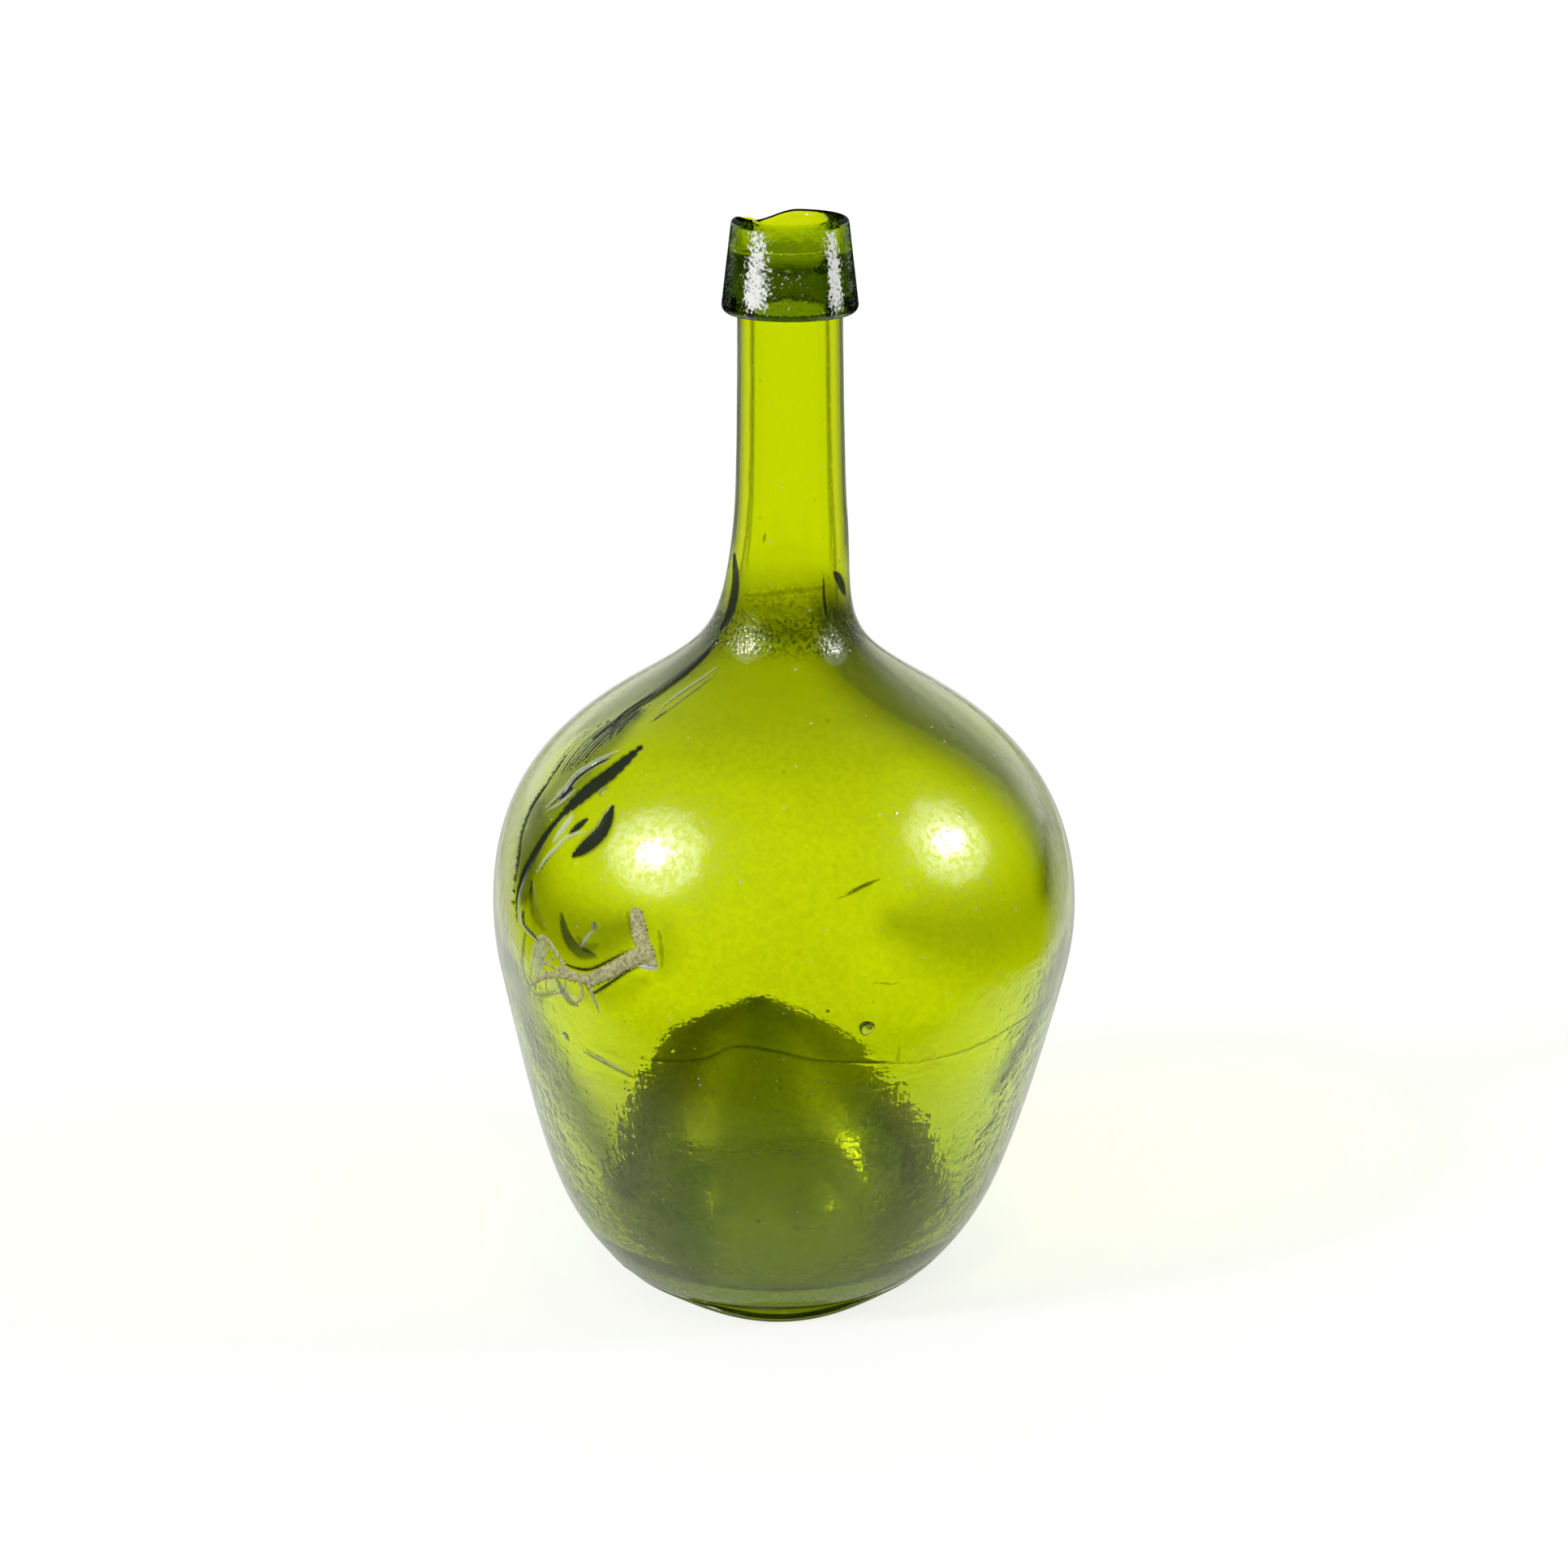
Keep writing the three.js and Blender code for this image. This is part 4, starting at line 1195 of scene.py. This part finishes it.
def makeCollar():
    s = collarShape
    bottom, top = s["bottom"], s["bottom"] + s["height"]
    edgeX, lip = s["bottomRadius"] - s["edgeRound"], top - s["lipRound"]
    neckX, neckTop = bodyShape["neckEnd"]
    seatX, seatTop = radiusAt(outside, bottom) + s["seatGap"], neckTop + s["endGap"]
    side = [Vector((s["bottomRadius"], bottom + s["edgeRound"])), Vector((s["topRadius"], lip))]
    under = evenly([Vector((seatX, bottom)), Vector((edgeX, bottom))], 0.8)
    edge = arc(Vector((edgeX, bottom + s["edgeRound"])), s["edgeRound"], s["edgeRound"], 270, 360, 8)
    lipOut = arc(Vector((s["topRadius"] - s["lipRound"], lip)), s["lipRound"], s["lipRound"], 0, 90, 6)
    lipIn = arc(Vector((s["mouthRadius"] + s["lipRound"], lip)), s["lipRound"], s["lipRound"], 90, 180, 6)
    mouthEnd = Vector((s["mouthRadius"], seatTop))
    mouth = evenly([lipIn[-1], mouthEnd], 0.8)
    seat = evenly([mouthEnd, Vector((neckX + s["seatGap"], seatTop))], 0.8)
    seat += evenly([seat[-1], Vector((seatX, bottom))], 2)[1:]
    outer = under + edge[1:] + evenly(side, 0.8)[1:] + lipOut[1:] + lipIn + mouth[1:]
    outline = outer + seat[1:]
    collar = turned("tooledCollar", outline, s["turnSteps"])
    fused = partsOf(collar, outline, [len(outer) - 1])
    hidden, half = s["hidden"]
    nearFrom, farFrom = s["hiddenFrom"]
    rims = [0] * len(fused)
    for face in collar.data.polygons:
        turn = turnBetween(math.degrees(math.atan2(face.center.y, face.center.x)), hidden)
        radius = math.hypot(face.center.x, face.center.y) / mm
        if not fused[face.index] and face.center.z / mm > lip + (nearFrom if turn < half else farFrom):
            rims[face.index] = int(turn >= half and radius > s["topRadius"] - s["rimWidth"])
            fused[face.index] = 1 - rims[face.index]

    def tool(point):
        azimuth = math.degrees(math.atan2(point.y, point.x))
        felt = smooth(point.z, top - s["lipReach"], top)
        dip = s["lipDip"] * swell(turnBetween(azimuth, s["lipDipAzimuth"]), s["lipDipSpread"])
        tilt = s["lipTilt"] * math.cos(math.radians(azimuth - s["lipCrestAzimuth"]))
        point.z += felt * (tilt - dip)
        point.x += along(bodyShape["wander"], bottom)
        return point

    reshape(collar, tool)
    shadeSmooth(collar)
    hand(collar, "applied_collar", "collar_glass", collarGlass())
    setMark(collar, "fused", fused)
    setMark(collar, "rim", rims)
    drift, outwards = along(bodyShape["wander"], bottom), s["topRadius"] - 2
    setMark(collar, "outer", [
        math.hypot(face.center.x / mm - drift, face.center.y / mm) > outwards and not hiddenPart
        for face, hiddenPart in zip(collar.data.polygons, fused)])


# Pontil glass

pontilShape = {
    "innerRadius": 9,
    "outerRadius": 14,
    "thickness": 2.2,
    "ragged": 0.5,
    "gap": 0.3,
    "turnSteps": 96,
    "grain": (700.0, 4.0),  # scale and detail
    "relief": (0.7, 0.8 * mm),
    "tint": (0.9, 0.95, 0.6),
    "roughness": 0.15,
}


def pontilGlass():
    s = pontilShape
    material, shader = newMaterial("pontilGlass")
    bump = bumpOf(shader, noise(shader, objectPlace(shader), *s["grain"]), *s["relief"])
    glass = clearGlass(shader, colour(*s["tint"]), s["roughness"], bump)
    finishGlass(shader, glass, glassLook["absorption"])
    return material


def makePontil():
    s = pontilShape
    hollow = kickUnder(0.5)

    def under(radius):
        return next(p.y for p in hollow if p.x >= radius) - s["gap"]

    middle, half = (s["innerRadius"] + s["outerRadius"]) / 2, (s["outerRadius"] - s["innerRadius"]) / 2
    section = arc(Vector((middle, 0)), half, s["thickness"], 180, 360, 12)
    broken = [Vector((p.x, under(p.x) + p.y)) for p in section]
    inwards = range(s["outerRadius"] - 1, s["innerRadius"], -1)
    seat = [Vector((radius, under(radius))) for radius in inwards] + [broken[0]]
    pontil = turned("pontilRing", broken + seat, s["turnSteps"])

    def chip(point):
        turn = math.atan2(point.y, point.x)
        radius = math.hypot(point.x, point.y)
        depth = (under(radius) - point.z) / s["thickness"]
        waves = math.sin(5 * turn) + math.sin(11 * turn) + 0.6 * math.sin(23 * turn + 9 * radius)
        point.z -= depth * s["ragged"] * waves / 2
        point.x += kickPlace(bodyShape["kickHeight"])
        return point

    reshape(pontil, chip)
    shadeSmooth(pontil)
    hand(pontil, "pontil_scar", "pontil_glass", pontilGlass())


# Clay streak

clayShape = {
    "strips": [  # azimuth, height and width along each
        [(-119.2, 151.8, 1.6), (-118.5, 150, 4.6), (-117.8, 147, 5.2), (-117, 143.5, 5.4),
         (-116, 140.5, 5.4), (-115, 138, 5.4), (-113.6, 136.2, 2.0)],
        [(-115.8, 139, 4.0), (-117.5, 138, 5.4), (-119.5, 136, 5.0), (-122, 133, 4.7), (-125, 129.8, 4.5),
         (-127.8, 127, 4.2), (-130.5, 126.3, 3.2), (-134, 126, 3.8), (-136, 126.5, 2.6)],
        [(-143.8, 132.3, 0.8), (-141.8, 134, 1.6), (-139.5, 133.8, 1.8), (-137, 131.4, 1.6),
         (-135, 128.5, 1.8), (-133.5, 126.4, 2.0)],
        [(-146.5, 115, 0.7), (-144.5, 117.5, 1.6), (-142.5, 120, 2.0), (-138.5, 123.3, 2.2),
         (-134.3, 125.3, 2.2)],
        [(-142.6, 133, 0.8), (-144, 128, 1.0), (-145.2, 122, 0.8), (-146.2, 116, 0.6)],
        [(-140.5, 132.6, 0.6), (-141.7, 127.5, 0.7), (-138, 126, 0.7), (-134.5, 126.5, 0.6)],
        [(-144, 127, 0.6), (-140, 126.2, 0.7), (-135.5, 126.6, 0.6)],
        [(-142, 133, 0.5), (-142.5, 128, 0.6), (-141, 124, 0.5), (-138, 123.6, 0.5)],
        [(-139, 133, 0.5), (-140.2, 129, 0.7), (-142.8, 124.5, 0.6), (-144.5, 119, 0.5)],
        [(-137.5, 131.2, 0.5), (-138.6, 128, 0.7), (-141.6, 125, 0.6), (-144.5, 123, 0.5)],
        [(-143.4, 130, 0.4), (-142, 126, 0.5), (-142.5, 122.5, 0.5), (-143.6, 119.5, 0.4)],
        [(-135, 125.5, 0.9), (-134.4, 122, 0.8), (-135.6, 119.2, 0.9), (-139, 117, 0.8), (-140.5, 119, 0.7),
         (-139.8, 121.5, 0.5)],
        [(-134.4, 120, 1.4), (-132.8, 117.8, 1.2), (-131.3, 116.5, 0.7)],
        [(-131, 126, 1.8), (-130, 122.5, 1.3), (-130.6, 119, 1.0), (-131.8, 117.6, 0.6)],
        [(-128.2, 126, 2.2), (-127.5, 122, 1.4), (-126.6, 119.4, 1.0), (-126.2, 117, 0.6)],
    ],
    "flatness": 0.16,  # how thick a strip is for its width
    "raggedness": 0.13,
    "grain": (900.0, 4.0),  # scale and detail
    "relief": (0.6, 0.5 * mm),
    "dark": (0.26, 0.25, 0.1),
    "pale": (0.56, 0.54, 0.27),
    "roughness": 0.8,
}


def burntClay():
    s = clayShape
    material, shader = newMaterial("burntClay")
    grain = noise(shader, objectPlace(shader), *s["grain"])
    clay = shader.node("ShaderNodeBsdfPrincipled", None, {
        "Base Color": shader.mixColour(grain.between(0.3, 0.7), colour(*s["dark"]), colour(*s["pale"])),
        "Roughness": s["roughness"],
        "Normal": bumpOf(shader, grain, *s["relief"]),
    })
    shader.node("ShaderNodeOutputMaterial", None, {"Surface": clay})
    return material


def addStrip(curves, stations, number):
    # one strip of clay, with a ragged edge
    path = flowing(stations, 8)
    line = curves.splines.new("POLY")
    line.points.add(len(path) - 1)
    for k, (point, (azimuth, height, width)) in enumerate(zip(line.points, path)):
        ragged = 1 + clayShape["raggedness"] * (math.sin(2.1 * k + number) + math.sin(3.7 * k + 2 * number))
        point.co = (*(onGlass(azimuth, height) * mm), 1)
        point.radius = width * ragged / 2


def makeClay():
    s = clayShape
    curves = bpy.data.curves.new("clayStreak", "CURVE")
    curves.dimensions = "3D"
    curves.bevel_depth = mm
    curves.bevel_resolution = 3
    curves.use_fill_caps = True
    for number, stations in enumerate(s["strips"]):
        addStrip(curves, stations, number)
    clay = bpy.data.objects.new("clayStreak", curves)
    bpy.context.collection.objects.link(clay)
    bpy.ops.object.select_all(action="DESELECT")
    clay.select_set(True)
    bpy.context.view_layer.objects.active = clay
    bpy.ops.object.convert(target="MESH")
    clay = bpy.context.object

    def flatten(point):
        drift = along(bodyShape["wander"], point.z)
        radius = math.hypot(point.x - drift, point.y)
        surface = radiusAt(outside, point.z)
        scale = (surface + (radius - surface) * s["flatness"]) / radius
        return Vector(((point.x - drift) * scale + drift, point.y * scale, point.z))

    reshape(clay, flatten)
    shadeSmooth(clay)
    hand(clay, "clay_streak", "burnt_clay", burntClay())


# Bead of stray glass

beadShape = {
    "azimuth": -75,
    "height": 118.4,
    "radius": 2.4,
    "thickness": 2.8,
    "sink": 0.45,  # of its middle, into the wall
    "tail": 0.12,  # how much broader it is on one side
    "shade": 0.2,
}


def makeBead():
    s = beadShape
    ball = bpy.ops.mesh.primitive_uv_sphere_add
    bead = addPrimitive("strayBead", ball, segments=32, ring_count=16, radius=mm)
    surface, centre = (onGlass(s["azimuth"], s["height"], lift) for lift in (0, -s["sink"]))
    turn = Vector((0, 0, 1)).rotation_difference((surface - centre).normalized())

    def drop(point):
        point = Vector((point.x * s["radius"], point.y * s["radius"], point.z * s["thickness"] / 2))
        point.x *= 1 + s["tail"] * point.y
        return centre + turn @ point

    reshape(bead, drop)
    shadeSmooth(bead)
    setMark(bead, "shade", [s["shade"]] * len(bead.data.vertices), "POINT")
    hand(bead, "stray_glass_bead", "green_glass", bpy.data.materials["greenGlass"])


makeBody()
print("Body ready")
makeCollar()
print("Collar ready")
makePontil()
makeClay()
makeBead()
print("Pontil glass, clay streak and bead ready")
